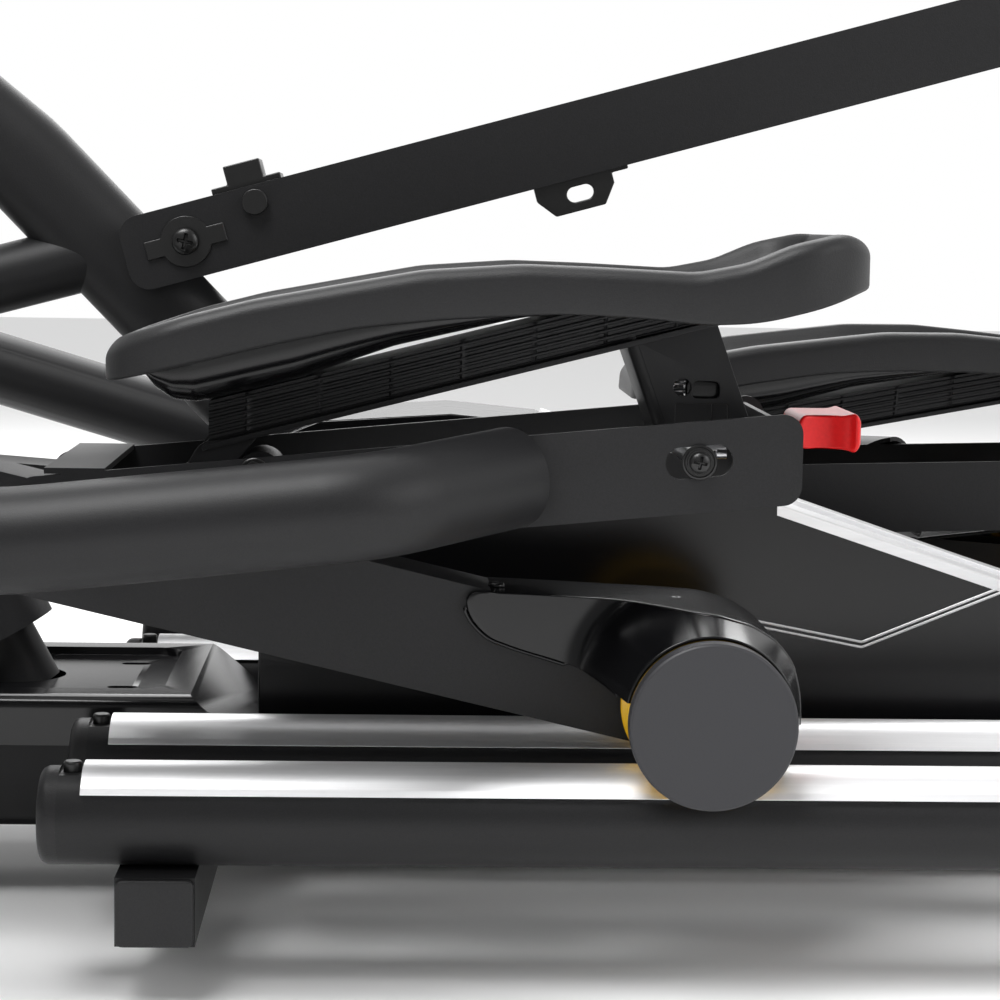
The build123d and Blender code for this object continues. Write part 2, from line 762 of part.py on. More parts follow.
with BuildPart() as boom_brackets:
    with BuildSketch(boom_plane.offset(-20)) as top_bracket:
        with Locations((42, boom_height / 2 + 2)):
            Rectangle(42, 4)
        with Locations((42, boom_height / 2 + 9)):
            Rectangle(22, 12)
    extrude(amount=40)
    with BuildSketch(boom_plane.offset(boom_half_width - wall)) as hook:
        with BuildLine() as edge:
            Polyline((205, 4), (205, -30), (214, -41), (244, -41), (252, -30), (252, -24), (262, -24), (262, 4), close=True)
        make_face()
        with Locations((231, -31)):
            SlotOverall(16, 9, mode=Mode.SUBTRACT)
    extrude(amount=-5)
boom_brackets.part.label = "boom_brackets"
export_step(boom_brackets.part, "parts/boom_brackets.step")

saddle_z = 812
with BuildPart() as seat_post:
    with BuildSketch(Plane.XY.offset(seat_z - 10)) as section:
        with Locations((seat_x, 0)):
            Circle(seat_bore - running_clearance)
    extrude(amount=saddle_z - seat_z + 10)
    with Locations((seat_x, 0, saddle_z + 4)):
        Box(110, 70, 8)
seat_post.part.label = "seat_post"
export_step(seat_post.part, "parts/seat_post.step")

with BuildPart() as saddle:
    with BuildSketch(Plane.XY.offset(saddle_z + 8)) as plan:
        with BuildLine() as edge:
            FilletPolyline(
                (seat_x - 132, -30),
                (seat_x - 20, -46),
                (seat_x + 62, -112),
                (seat_x + 132, -96),
                (seat_x + 132, 96),
                (seat_x + 62, 112),
                (seat_x - 20, 46),
                (seat_x - 132, 30),
                close=True,
                radius=24,
            )
        make_face()
    extrude(amount=58)
    chamfer(saddle.edges().group_by(Axis.Z)[-1], 10)
saddle.part.label = "saddle"
export_step(saddle.part, "parts/saddle.step")

# ---------------------------------------------------------------- rollers
groove_radius = rail_diameter / 2 + strip_thickness + roller_clearance
rail_drop = roller_z - rail_height
left_axle = Plane((left_roller_x, 0, roller_z), x_dir=(1, 0, 0), z_dir=(0, -1, 0))


with BuildPart() as roller_wheels:
    for y in (rail_inner_y, rail_outer_y):
        with BuildSketch(Plane((left_roller_x, -y, roller_z), x_dir=(0, 1, 0), z_dir=(1, 0, 0))) as profile:
            with Locations((0, (roller_flange_radius + axle_radius + running_clearance) / 2)):
                Rectangle(2 * roller_half_width, roller_flange_radius - axle_radius - running_clearance)
            with Locations((0, rail_drop)):
                Circle(groove_radius, mode=Mode.SUBTRACT)
        revolve(axis=Axis((left_roller_x, 0, roller_z), (0, 1, 0)))
save(roller_wheels.part, "left_roller_wheels")
save(right_on_roller(roller_wheels.part), "right_roller_wheels")

disc_y = rail_outer_y + roller_half_width + 3
with BuildPart() as roller_axle:
    with BuildSketch(left_axle.offset(rail_inner_y - roller_half_width - 8)) as rod:
        Circle(axle_radius)
    extrude(amount=disc_y - rail_inner_y + roller_half_width + 8)
    with BuildSketch(left_axle.offset(rail_inner_y - roller_half_width - 8)) as head:
        Circle(axle_radius + 6)
    extrude(amount=6)
save(roller_axle.part, "left_roller_axle")
save(right_on_roller(roller_axle.part), "right_roller_axle")

with BuildPart() as roller_disc:
    with BuildSketch(left_axle.offset(disc_y)) as face:
        Circle(disc_radius)
    extrude(amount=disc_thickness)
    chamfer(roller_disc.edges().filter_by(GeomType.CIRCLE).group_by(Axis.Y)[0], 1.2)
save(roller_disc.part, "left_roller_disc")
save(right_on_roller(roller_disc.part), "right_roller_disc")

# ---------------------------------------------------------------- foot beams
pitch = math.radians(left_pitch)
beam_plane = Plane(
    (left_roller_x, -beam_y, roller_z),
    x_dir=(-math.cos(pitch), 0, math.sin(pitch)),
    z_dir=(0, 1, 0),
)
sleeve_radius = 25
bearing_radius = 34
tube_wall = 3
with BuildPart() as foot_beam:
    with BuildSketch(beam_plane) as outer:
        with Locations((beam_length / 2, 0)):
            Rectangle(beam_length, beam_height)
    extrude(amount=beam_width / 2, both=True)
    with BuildSketch(beam_plane) as inner:
        with Locations((beam_length / 2, 0)):
            Rectangle(beam_length - 60, beam_height - 2 * tube_wall)
    extrude(amount=beam_width / 2 - tube_wall, both=True, mode=Mode.SUBTRACT)
    with BuildSketch(beam_plane) as ends:
        with Locations((0, 0)):
            Circle(beam_height / 2)
        with Locations((beam_length, 0)):
            Circle(bearing_radius)
    extrude(amount=beam_width / 2 + 5, both=True)
    with BuildSketch(Plane.XZ.offset(beam_y)) as lug:
        with BuildLine() as edge:
            Polyline(
                (arm_pivot_x - 34, arm_pivot_z - 40),
                (arm_pivot_x - 12, arm_pivot_z),
                (arm_pivot_x + 12, arm_pivot_z),
                (arm_pivot_x + 34, arm_pivot_z - 50),
                close=True,
            )
        make_face()
        with Locations((arm_pivot_x, arm_pivot_z)):
            Circle(12)
    extrude(amount=20, both=True)
    with BuildSketch(Plane.XZ.offset(beam_y)) as lug_bore:
        with Locations((arm_pivot_x, arm_pivot_z)):
            Circle(arm_pin_radius + running_clearance)
    extrude(amount=30, both=True, mode=Mode.SUBTRACT)
    with BuildSketch(beam_plane) as axle_bore:
        Circle(axle_radius + running_clearance)
    extrude(amount=60, both=True, mode=Mode.SUBTRACT)
save(foot_beam.part, "left_foot_beam")
save(right_on_beam(foot_beam.part), "right_foot_beam")

cover_inner_y = 178
cover_outer_y = 301
wheel_space = roller_flange_radius + 3
with BuildPart() as roller_cover:
    with BuildSketch(Plane.XZ.offset(cover_inner_y)) as side:
        with BuildLine() as edge:
            Polyline(
                (left_roller_x - 120, roller_z + 60.5),
                (left_roller_x - 54, roller_z + 56),
                (left_roller_x + 6, roller_z + 51),
                (left_roller_x + 30, roller_z + 38),
                (left_roller_x + 43, roller_z + 18),
                (left_roller_x + 44, roller_z - 2),
                (left_roller_x - 60, roller_z - 2),
                (left_roller_x - 120, roller_z + 28),
                close=True,
            )
        make_face()
    extrude(amount=cover_outer_y - cover_inner_y)
    with BuildSketch(Plane.XY.offset(roller_z + 100)) as plan:
        with BuildLine() as edge:
            Polyline(
                (left_roller_x - 130, -cover_outer_y - 1),
                (left_roller_x - 130, -beam_y - beam_width / 2 - 4),
                (left_roller_x - 120, -beam_y - beam_width / 2 - 4),
                (left_roller_x - 50, -cover_outer_y - 1),
                close=True,
            )
        make_face()
    extrude(amount=-150, mode=Mode.SUBTRACT)
    with BuildSketch(left_axle.offset(rail_outer_y - roller_half_width - 3)) as wheel_room:
        Circle(wheel_space)
    extrude(amount=80, mode=Mode.SUBTRACT)
    with BuildSketch(beam_plane) as beam_room:
        with Locations((beam_length / 2, 0)):
            Rectangle(beam_length, beam_height)
        Circle(beam_height / 2)
    extrude(amount=beam_width / 2 + 0.2, both=True, mode=Mode.SUBTRACT)
    with BuildSketch(beam_plane) as end_room:
        Circle(beam_height / 2 + 0.2)
    extrude(amount=beam_width / 2 + 5.2, both=True, mode=Mode.SUBTRACT)
    with BuildSketch(Plane.XZ.offset(rail_outer_y - roller_half_width - 3)) as inner_room:
        with Locations((left_roller_x, roller_z)):
            Circle(beam_height / 2 + 0.2)
    extrude(amount=-40, mode=Mode.SUBTRACT)
save(roller_cover.part, "left_roller_cover")
save(right_on_beam(roller_cover.part), "right_roller_cover")

# ---------------------------------------------------------------- pedal arms
rise = math.tan(math.radians(channel_slope))
channel_outer_y = beam_y + channel_width / 2
channel_inner_y = beam_y - channel_width / 2
channel_rear_top = channel_front_top + (channel_rear_x - channel_front_x) * rise
slot_length = 34
slot_width = 16
tube_weld_x = 262
bridge_x = 45
eye_y = arm_tube_y + 27
with BuildPart() as pedal_arm:
    for wall_y in (channel_outer_y, channel_inner_y + wall):
        with BuildSketch(Plane.XZ.offset(wall_y)) as side:
            with BuildLine() as edge:
                Polyline(
                    (channel_front_x, channel_front_top),
                    (channel_rear_x, channel_rear_top),
                    (channel_rear_x, channel_rear_top - channel_height),
                    (channel_front_x, channel_front_top - channel_height),
                    close=True,
                )
            make_face()
            fillet(side.vertices(), 10)
            with Locations(Location((lock_x, lock_z), channel_slope)):
                SlotOverall(slot_length, slot_width, mode=Mode.SUBTRACT)
        extrude(amount=-wall)
    with BuildSketch(Plane.YZ.offset(channel_rear_x - 14)) as end_plate:
        with Locations((-beam_y, channel_rear_top - channel_height / 2 - 1)):
            Rectangle(channel_width, channel_height - 6)
            Rectangle(76, 26, mode=Mode.SUBTRACT)
    extrude(amount=3)
    with Locations((bridge_x, -beam_y, channel_front_top + (bridge_x - channel_front_x) * rise + 1)):
        Box(30, channel_width, 3)
    for pin_x, pin_z, pin_r in ((arm_pivot_x, arm_pivot_z, arm_pin_radius), (hinge_x, hinge_z, hinge_pin_radius)):
        with BuildSketch(Plane.XZ.offset(channel_inner_y)) as pin:
            with Locations((pin_x, pin_z)):
                Circle(pin_r)
        extrude(amount=channel_width)
    with BuildLine() as arm_path:
        FilletPolyline(
            (tube_weld_x, -channel_outer_y + 1, 265),
            (tube_weld_x - 66, -arm_tube_y, 257),
            (arm_pivot_x - 115, -arm_tube_y, 238),
            (-200, -arm_tube_y, 242),
            (arm_front_x + 10, -arm_tube_y, arm_front_z - 8),
            radius=[60, 300, 300],
        )
    with BuildSketch(Plane(arm_path.line @ 0, z_dir=arm_path.line % 0)) as section:
        Circle(arm_tube_radius)
        Circle(arm_tube_radius - tube_wall, mode=Mode.SUBTRACT)
    sweep()
    with BuildSketch(Plane.XZ.offset(arm_tube_y - 20)) as eye:
        with Locations((arm_front_x, arm_front_z)):
            Circle(28)
    extrude(amount=eye_y - arm_tube_y + 20)
    with BuildSketch(Plane.XZ.offset(channel_outer_y - wall)) as weld_trim:
        with Locations((tube_weld_x, 268)):
            Rectangle(160, 90)
    extrude(amount=-40, mode=Mode.SUBTRACT)
save(pedal_arm.part, "left_pedal_arm")
save(right_on_arm(pedal_arm.part), "right_pedal_arm")

lever_y = 26
with BuildPart() as lock_lever:
    with BuildSketch(Plane.XZ.offset(channel_inner_y - 3)) as pin:
        with Locations((lock_x, lock_z)):
            Circle(5)
    extrude(amount=channel_width + 6)
    for side_y, way in ((channel_outer_y + 0.4, 1), (channel_inner_y - 0.4, -1)):
        with BuildSketch(Plane.XZ.offset(side_y)) as washer:
            with Locations((lock_x, lock_z)):
                Circle(8.4)
        extrude(amount=way * 3.6)
    for way in (-1, 1):
        with BuildSketch(Plane.XZ.offset(beam_y + way * lever_y + 2)) as link:
            with BuildLine() as edge:
                Polyline((lock_x, lock_z - 7), (lock_x, lock_z + 7), (channel_rear_x + 16, lock_z + 14), (channel_rear_x + 16, lock_z), close=True)
            make_face()
        extrude(amount=-4)
    with BuildSketch(Plane.XZ.offset(beam_y + 32)) as handle:
        with BuildLine() as edge:
            Polyline(
                (channel_rear_x + 6, lock_z + 1),
                (channel_rear_x + 5, lock_z + 16),
                (channel_rear_x + 30, lock_z + 18),
                (channel_rear_x + 34, lock_z + 19),
                (channel_rear_x + 36, lock_z + 5),
                close=True,
            )
        make_face()
        fillet(handle.vertices(), 2)
    extrude(amount=-64)
save(lock_lever.part, "left_lock_lever")
save(right_on_arm(lock_lever.part), "right_lock_lever")

# ---------------------------------------------------------------- pedals
tread_bottom = ((60, 309), (182, 343), (286, 347), (354, 342), (443, 362))
tread_top = ((438, 380), (426, 388), (410, 388), (353, 370), (310, 367), (266, 371), (58, 330), (55, 318))
plate_y = 36
with BuildPart() as pedal_tread:
    with BuildSketch(Plane.XZ.offset(beam_y)) as side:
        with BuildLine() as edge:
            Polyline(*tread_bottom, *tread_top, close=True)
        make_face()
        fillet(side.vertices().group_by(Axis.X)[0], 4)
    extrude(amount=pedal_width / 2, both=True)
    with BuildSketch(Plane.XY.offset(250)) as corners:
        with Locations((250, -beam_y)):
            Rectangle(500, pedal_width + 10)
            with Locations((0, 0)):
                RectangleRounded(389, pedal_width, 42, mode=Mode.SUBTRACT)
    extrude(amount=200, mode=Mode.SUBTRACT)
    with BuildSketch(Plane.XZ.offset(beam_y)) as foot_room:
        with BuildLine() as edge:
            Polyline((74, 323), (182, 353), (266, 361), (353, 358), (405, 375), (405, 400), (74, 400), close=True)
        make_face()
    extrude(amount=pedal_width / 2 - 12, both=True, mode=Mode.SUBTRACT)
save(pedal_tread.part, "left_pedal_tread")
save(right_on_arm(pedal_tread.part), "right_pedal_tread")

with BuildPart() as pedal_frame:
    with BuildSketch(Plane.XZ.offset(beam_y)) as rail_side:
        with BuildLine() as edge:
            Polyline((107, 275), (371, 338), (371, 341.6), (354, 341.6), (286, 346.6), (182, 342.6), (104, 321), close=True)
        make_face()
    extrude(amount=plate_y - 1, both=True)
    with BuildSketch(Plane.XZ.offset(beam_y)) as tray_side:
        with BuildLine() as edge:
            Polyline((78, 313.6), (92, 300), (128, 299), (320, 344.4), (286, 346.6), (182, 342.6), close=True)
        make_face()
    extrude(amount=pedal_width / 2 - 16, both=True)
    for way in (-1, 1):
        with BuildSketch(Plane.XZ.offset(beam_y + way * plate_y + 1.5)) as post_side:
            with BuildLine() as edge:
                Polyline((313, 330), (321, 277), (387, 272), (387, 275), (371, 341), close=True)
            make_face()
            with Locations((lock_x + 5, lock_z + 1)):
                RectangleRounded(28, 50, 8, mode=Mode.SUBTRACT)
        extrude(amount=-3)
        with BuildSketch(Plane.XZ.offset(beam_y + way * plate_y + 1.5)) as lug_side:
            with BuildLine() as edge:
                Polyline((hinge_x - 11, hinge_z), (104, 300), (140, 300), (hinge_x + 11, hinge_z), close=True)
            make_face()
            with Locations((hinge_x, hinge_z)):
                Circle(11)
                Circle(hinge_pin_radius + running_clearance, mode=Mode.SUBTRACT)
        extrude(amount=-3)
save(pedal_frame.part, "left_pedal_frame")
save(right_on_arm(pedal_frame.part), "right_pedal_frame")

# ---------------------------------------------------------------- swing arms
hub_length = 34
with BuildPart() as swing_arm:
    with BuildLine() as swing_path:
        FilletPolyline(
            (arm_front_x, -swing_y, arm_front_z),
            (swing_pivot_x + 20, -swing_y, swing_pivot_z + 120),
            (swing_pivot_x + 110, -swing_y + 40, swing_pivot_z + 300),
            (swing_pivot_x + 190, -swing_y + 80, swing_pivot_z + 420),
            radius=[120, 90],
        )
    with BuildSketch(Plane(swing_path.line @ 0, z_dir=swing_path.line % 0)) as section:
        Circle(swing_tube_radius)
        Circle(swing_tube_radius - tube_wall, mode=Mode.SUBTRACT)
    sweep()
    for eye_x, eye_z, eye_r in ((arm_front_x, arm_front_z, 26), (swing_pivot_x, swing_pivot_z, 27)):
        with BuildSketch(Plane.XZ.offset(swing_y - hub_length / 2)) as eye:
            with Locations((eye_x, eye_z)):
                Circle(eye_r)
        extrude(amount=hub_length)
    with BuildSketch(Plane.XZ.offset(swing_y - 40)) as bore:
        with Locations((swing_pivot_x, swing_pivot_z)):
            Circle(swing_axle_radius + running_clearance)
    extrude(amount=80, mode=Mode.SUBTRACT)
save(swing_arm.part, "left_swing_arm")
save(right_on_swing(swing_arm.part), "right_swing_arm")

with BuildPart() as swing_grip:
    with BuildLine() as grip_path:
        Line(swing_path.line @ 1 - (swing_path.line % 1) * 150, swing_path.line @ 1 + (swing_path.line % 1) * 8)
    with BuildSketch(Plane(grip_path.line @ 0, z_dir=grip_path.line % 0)) as section:
        Circle(grip_radius)
    sweep()
    with BuildSketch(Plane(grip_path.line @ 0, z_dir=grip_path.line % 0)) as tube_room:
        Circle(swing_tube_radius + 0.2)
    extrude(amount=150, mode=Mode.SUBTRACT)
save(swing_grip.part, "left_swing_grip")
save(right_on_swing(swing_grip.part), "right_swing_grip")
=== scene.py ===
import json
import math

import bmesh
import bpy
import numpy as np
from mathutils import Matrix, Vector


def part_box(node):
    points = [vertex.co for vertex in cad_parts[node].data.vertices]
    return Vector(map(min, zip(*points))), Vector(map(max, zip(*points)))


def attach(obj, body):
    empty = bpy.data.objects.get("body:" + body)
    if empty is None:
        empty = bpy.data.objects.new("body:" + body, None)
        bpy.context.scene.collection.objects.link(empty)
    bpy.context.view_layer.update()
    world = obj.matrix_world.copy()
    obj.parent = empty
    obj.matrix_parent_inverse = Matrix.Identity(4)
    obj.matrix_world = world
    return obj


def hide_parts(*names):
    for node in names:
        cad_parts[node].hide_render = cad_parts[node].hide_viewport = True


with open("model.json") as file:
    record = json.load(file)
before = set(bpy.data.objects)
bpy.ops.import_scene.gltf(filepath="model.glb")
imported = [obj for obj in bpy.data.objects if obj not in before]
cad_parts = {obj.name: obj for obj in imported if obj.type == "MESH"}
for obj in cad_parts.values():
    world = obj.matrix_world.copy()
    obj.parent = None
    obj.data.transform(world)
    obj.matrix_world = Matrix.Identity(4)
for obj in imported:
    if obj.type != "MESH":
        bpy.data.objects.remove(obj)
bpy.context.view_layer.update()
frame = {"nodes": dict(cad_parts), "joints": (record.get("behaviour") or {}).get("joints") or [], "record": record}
print("frame loaded:", len(frame["nodes"]), "nodes")

joints = {joint["name"]: joint for joint in frame["joints"]}
couplings = {c["joint"]: c["ratio"] for c in frame["record"]["behaviour"]["couplings"]}
left, right = "left", "right"
sides = (left, right)

# ---- where the right side stands: mirrored, then carried along by its linkage ----
rollerAt = {side: np.array(joints[side + "_beam_pitch"]["pos_m"]) for side in sides}
armAt = {side: np.array(joints[side + "_arm_pivot"]["pos_m"]) for side in sides}
swingAt = {side: np.array(joints[side + "_swing"]["pos_m"]) for side in sides}
stride = rollerAt[right][0] - rollerAt[left][0]
beamTurn = couplings["left_beam_pitch"] * stride
armTurn = beamTurn + couplings["left_arm_pivot"] * stride
swingTurn = couplings["left_swing"] * stride


def placed(points, side, group):
    """Left-hand points as they are, or mirrored and turned about the group's pivot for the right-hand
    side."""
    points = np.asarray(points, float)
    if side == left:
        return points
    fromPoint, toPoint, turn = {
        "roller": (rollerAt[left], rollerAt[right], 0.0),
        "beam": (rollerAt[left], rollerAt[right], beamTurn),
        "arm": (armAt[left], armAt[right], armTurn),
        "swing": (swingAt[left], swingAt[right], swingTurn),
    }[group]
    x = points[..., 0] - fromPoint[0]
    z = points[..., 2] - fromPoint[2]
    return np.stack(
        [
            x * math.cos(turn) + z * math.sin(turn) + toPoint[0],
            -points[..., 1],
            z * math.cos(turn) - x * math.sin(turn) + toPoint[2],
        ],
        axis=-1,
    )


# ---- shared shader groups ----
def nodeGroup(name, inputs, outputs):
    group = bpy.data.node_groups.new(name, "ShaderNodeTree")
    for label, kind, value in inputs:
        socket = group.interface.new_socket(label, in_out="INPUT", socket_type=kind)
        if value is not None:
            socket.default_value = value
    for label, kind in outputs:
        group.interface.new_socket(label, in_out="OUTPUT", socket_type=kind)
    return group, group.nodes.new("NodeGroupInput"), group.nodes.new("NodeGroupOutput")


def makeGrainGroup():
    """Powder or moulded grain: one fine noise gives the height and, through a clamped mask, the tint; one slow
    noise shifts the roughness."""
    group, entry, leave = nodeGroup(
        "surfaceGrain",
        (
            ("Coordinates", "NodeSocketVector", None),
            ("Scale", "NodeSocketFloat", 900.0),
            ("Base Roughness", "NodeSocketFloat", 0.4),
            ("Roughness Spread", "NodeSocketFloat", 0.1),
            ("Dark", "NodeSocketColor", (0.02, 0.02, 0.02, 1)),
            ("Light", "NodeSocketColor", (0.04, 0.04, 0.04, 1)),
        ),
        (("Color", "NodeSocketColor"), ("Roughness", "NodeSocketFloat"), ("Height", "NodeSocketFloat")),
    )
    link = group.links.new
    fine = group.nodes.new("ShaderNodeTexNoise")
    fine.inputs["Detail"].default_value = 3
    slow = group.nodes.new("ShaderNodeTexNoise")
    slow.inputs["Scale"].default_value = 9
    slow.inputs["Detail"].default_value = 5
    link(entry.outputs["Coordinates"], fine.inputs["Vector"])
    link(entry.outputs["Coordinates"], slow.inputs["Vector"])
    link(entry.outputs["Scale"], fine.inputs["Scale"])
    tint = group.nodes.new("ShaderNodeMix")
    tint.data_type = "RGBA"
    mask = group.nodes.new("ShaderNodeMath")
    mask.operation = "MULTIPLY"
    mask.use_clamp = True
    mask.inputs[1].default_value = 1.1
    link(fine.outputs["Fac"], mask.inputs[0])
    link(mask.outputs[0], tint.inputs["Factor"])
    link(entry.outputs["Dark"], tint.inputs["A"])
    link(entry.outputs["Light"], tint.inputs["B"])
    centred = group.nodes.new("ShaderNodeMath")
    centred.operation = "SUBTRACT"
    centred.inputs[1].default_value = 0.5
    link(slow.outputs["Fac"], centred.inputs[0])
    spread = group.nodes.new("ShaderNodeMath")
    spread.operation = "MULTIPLY_ADD"
    link(centred.outputs[0], spread.inputs[0])
    link(entry.outputs["Roughness Spread"], spread.inputs[1])
    link(entry.outputs["Base Roughness"], spread.inputs[2])
    link(tint.outputs["Result"], leave.inputs["Color"])
    link(spread.outputs[0], leave.inputs["Roughness"])
    link(fine.outputs["Fac"], leave.inputs["Height"])
    return group


grainGroup = makeGrainGroup()


def grained(
    name,
    dark,
    light,
    roughness,
    scale,
    depth,
    metallic=0.0,
    coat=0.0,
    spread=0.12,
    stretch=(1, 1, 1),
    specular=0.5,
):
    material = bpy.data.materials.new(name)
    material.use_nodes = True
    tree = material.node_tree
    shader = tree.nodes["Principled BSDF"]
    coords = tree.nodes.new("ShaderNodeTexCoord")
    mapping = tree.nodes.new("ShaderNodeMapping")
    mapping.inputs["Scale"].default_value = stretch
    grain = tree.nodes.new("ShaderNodeGroup")
    grain.node_tree = grainGroup
    grain.inputs["Scale"].default_value = scale
    grain.inputs["Base Roughness"].default_value = roughness
    grain.inputs["Roughness Spread"].default_value = spread
    grain.inputs["Dark"].default_value = (*dark, 1)
    grain.inputs["Light"].default_value = (*light, 1)
    bump = tree.nodes.new("ShaderNodeBump")
    bump.inputs["Strength"].default_value = 0.6
    bump.inputs["Distance"].default_value = depth
    link = tree.links.new
    link(coords.outputs["Object"], mapping.inputs["Vector"])
    link(mapping.outputs["Vector"], grain.inputs["Coordinates"])
    link(grain.outputs["Color"], shader.inputs["Base Color"])
    link(grain.outputs["Roughness"], shader.inputs["Roughness"])
    link(grain.outputs["Height"], bump.inputs["Height"])
    link(bump.outputs["Normal"], shader.inputs["Normal"])
    shader.inputs["Metallic"].default_value = metallic
    shader.inputs["Coat Weight"].default_value = coat
    shader.inputs["Coat Roughness"].default_value = 0.06
    shader.inputs["Specular IOR Level"].default_value = specular
    return material


finish = {
    "frame_paint": grained(
        "powderCoat", (0.006, 0.006, 0.0065), (0.016, 0.016, 0.017), 0.44, 1500, 0.00012, specular=0.28
    ),
    "black_steel": grained(
        "blackZinc", (0.004, 0.004, 0.004), (0.01, 0.01, 0.01), 0.3, 700, 0.00005, specular=0.45
    ),
    "bright_strip": grained(
        "brushedStrip",
        (0.8, 0.8, 0.81),
        (0.93, 0.93, 0.94),
        0.4,
        500,
        0.00002,
        metallic=0.8,
        stretch=(0.02, 1, 1),
    ),
    "steel": grained(
        "turnedSteel", (0.42, 0.42, 0.43), (0.58, 0.58, 0.6), 0.28, 600, 0.00003, metallic=1.0
    ),
    "iron": grained("castIron", (0.03, 0.03, 0.032), (0.06, 0.06, 0.06), 0.6, 400, 0.0003, metallic=0.5),
    "gloss_black": grained(
        "glossShell",
        (0.0025, 0.0025, 0.003),
        (0.004, 0.004, 0.0045),
        0.2,
        300,
        0.00001,
        spread=0.05,
        specular=0.4,
    ),
    "matte_black": grained(
        "mouldedBlack", (0.005, 0.005, 0.0055), (0.016, 0.016, 0.017), 0.46, 1300, 0.00025, specular=0.35
    ),
    "disc_grey": grained(
        "discGrey", (0.035, 0.035, 0.038), (0.042, 0.042, 0.046), 0.4, 1200, 0.00003, specular=0.25
    ),
    "urethane": grained("yellowUrethane", (0.95, 0.5, 0.005), (1.0, 0.66, 0.01), 0.25, 120, 0.00002),
    "lever_red": grained(
        "redLever", (0.6, 0.003, 0.004), (0.78, 0.008, 0.009), 0.32, 500, 0.00005, specular=0.4
    ),
    "foam": grained(
        "foamGrip", (0.006, 0.006, 0.006), (0.02, 0.02, 0.02), 0.75, 1800, 0.0004, specular=0.3
    ),
    "rubber": grained(
        "rubber", (0.006, 0.006, 0.006), (0.014, 0.014, 0.014), 0.65, 900, 0.0002, specular=0.3
    ),
    "screen": grained(
        "screenGlass",
        (0.004, 0.006, 0.008),
        (0.006, 0.009, 0.012),
        0.08,
        100,
        0.000001,
        coat=1.0,
        spread=0.02,
    ),
    "saddle_vinyl": grained(
        "saddleVinyl", (0.006, 0.006, 0.0065), (0.018, 0.018, 0.019), 0.5, 500, 0.0005, specular=0.35
    ),
}
print("finishes made:", len(finish))


# ---- meshes ----
def softEdges(piece, angle=34):
    piece.data.shade_smooth()
    piece.data.set_sharp_from_angle(angle=math.radians(angle))


def addPiece(name, mesh, body, slot, bevel=0.0, replaces=()):
    piece = bpy.data.objects.new(name, mesh)
    bpy.context.scene.collection.objects.link(piece)
    mesh.materials.clear()
    mesh.materials.append(finish[slot])
    softEdges(piece)
    if bevel:
        edge = piece.modifiers.new("edge", "BEVEL")
        edge.width = bevel
        edge.segments = 2
        edge.limit_method = "ANGLE"
        edge.angle_limit = math.radians(38)
        edge.harden_normals = True
    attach(piece, body)
    if replaces:
        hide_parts(*replaces)
    return piece


def gridMesh(name, points, closeU=False, closeV=False, capU=False):
    """A surface from a grid of points, rows along u and columns along v; closed directions wrap round,
    and capU closes the first and last row with a fan to their middle."""
    rows, columns = points.shape[:2]
    vertices = points.reshape(-1, 3)
    i = np.arange(rows if closeU else rows - 1)[:, None]
    j = np.arange(columns if closeV else columns - 1)[None, :]
    nextI, nextJ = (i + 1) % rows, (j + 1) % columns
    faces = np.stack(
        [i * columns + j, i * columns + nextJ, nextI * columns + nextJ, nextI * columns + j], -1
    ).reshape(-1, 4)
    faceList = faces.tolist()
    if capU:
        middles = np.array([points[0].mean(0), points[-1].mean(0)])
        vertices = np.vstack([vertices, middles])
        first, last = rows * columns, rows * columns + 1
        a = np.arange(columns)
        b = (a + 1) % columns
        faceList += np.stack([b, a, np.full(columns, first)], -1).tolist()
        start = (rows - 1) * columns
        faceList += np.stack([start + a, start + b, np.full(columns, last)], -1).tolist()
    mesh = bpy.data.meshes.new(name)
    mesh.from_pydata(vertices.tolist(), [], faceList)
    work = bmesh.new()
    work.from_mesh(mesh)
    bmesh.ops.remove_doubles(work, verts=work.verts, dist=1e-6)
    bmesh.ops.recalc_face_normals(work, faces=work.faces)
    work.to_mesh(mesh)
    work.free()
    return mesh


def smoothCurve(points, window=0.03, count=400):
    """A function through a few (x, z) points: straight runs, then a moving average over the window to
    round them."""
    points = np.array(points, float)
    low, high = points[0, 0] - window, points[-1, 0] + window
    x = np.linspace(low, high, count)
    z = np.interp(x, points[:, 0], points[:, 1])
    width = max(3, int(window / (x[1] - x[0])) | 1)
    padded = np.pad(z, width // 2, mode="edge")
    rounded = np.convolve(padded, np.ones(width) / width, mode="valid")
    return lambda q: np.interp(q, x, rounded)


def latheMesh(name, centre, axis, profile, turns=48):
    """A profile of (distance along the axis, radius) turned round the axis."""
    axis = np.array(axis, float) / np.linalg.norm(axis)
    side = np.cross(axis, (0.31, 0.17, 0.93))
    side /= np.linalg.norm(side)
    other = np.cross(axis, side)
    angle = np.linspace(0, 2 * np.pi, turns, endpoint=False)
    profile = np.array(profile, float)
    ring = np.cos(angle)[None, :, None] * side + np.sin(angle)[None, :, None] * other
    points = np.array(centre) + profile[:, 0, None, None] * axis + profile[:, 1, None, None] * ring
    return gridMesh(name, points, closeV=True, capU=True)


def joinMeshes(name, meshes):
    work = bmesh.new()
    for mesh in meshes:
        work.from_mesh(mesh)
    joined = bpy.data.meshes.new(name)
    work.to_mesh(joined)
    work.free()
    return joined


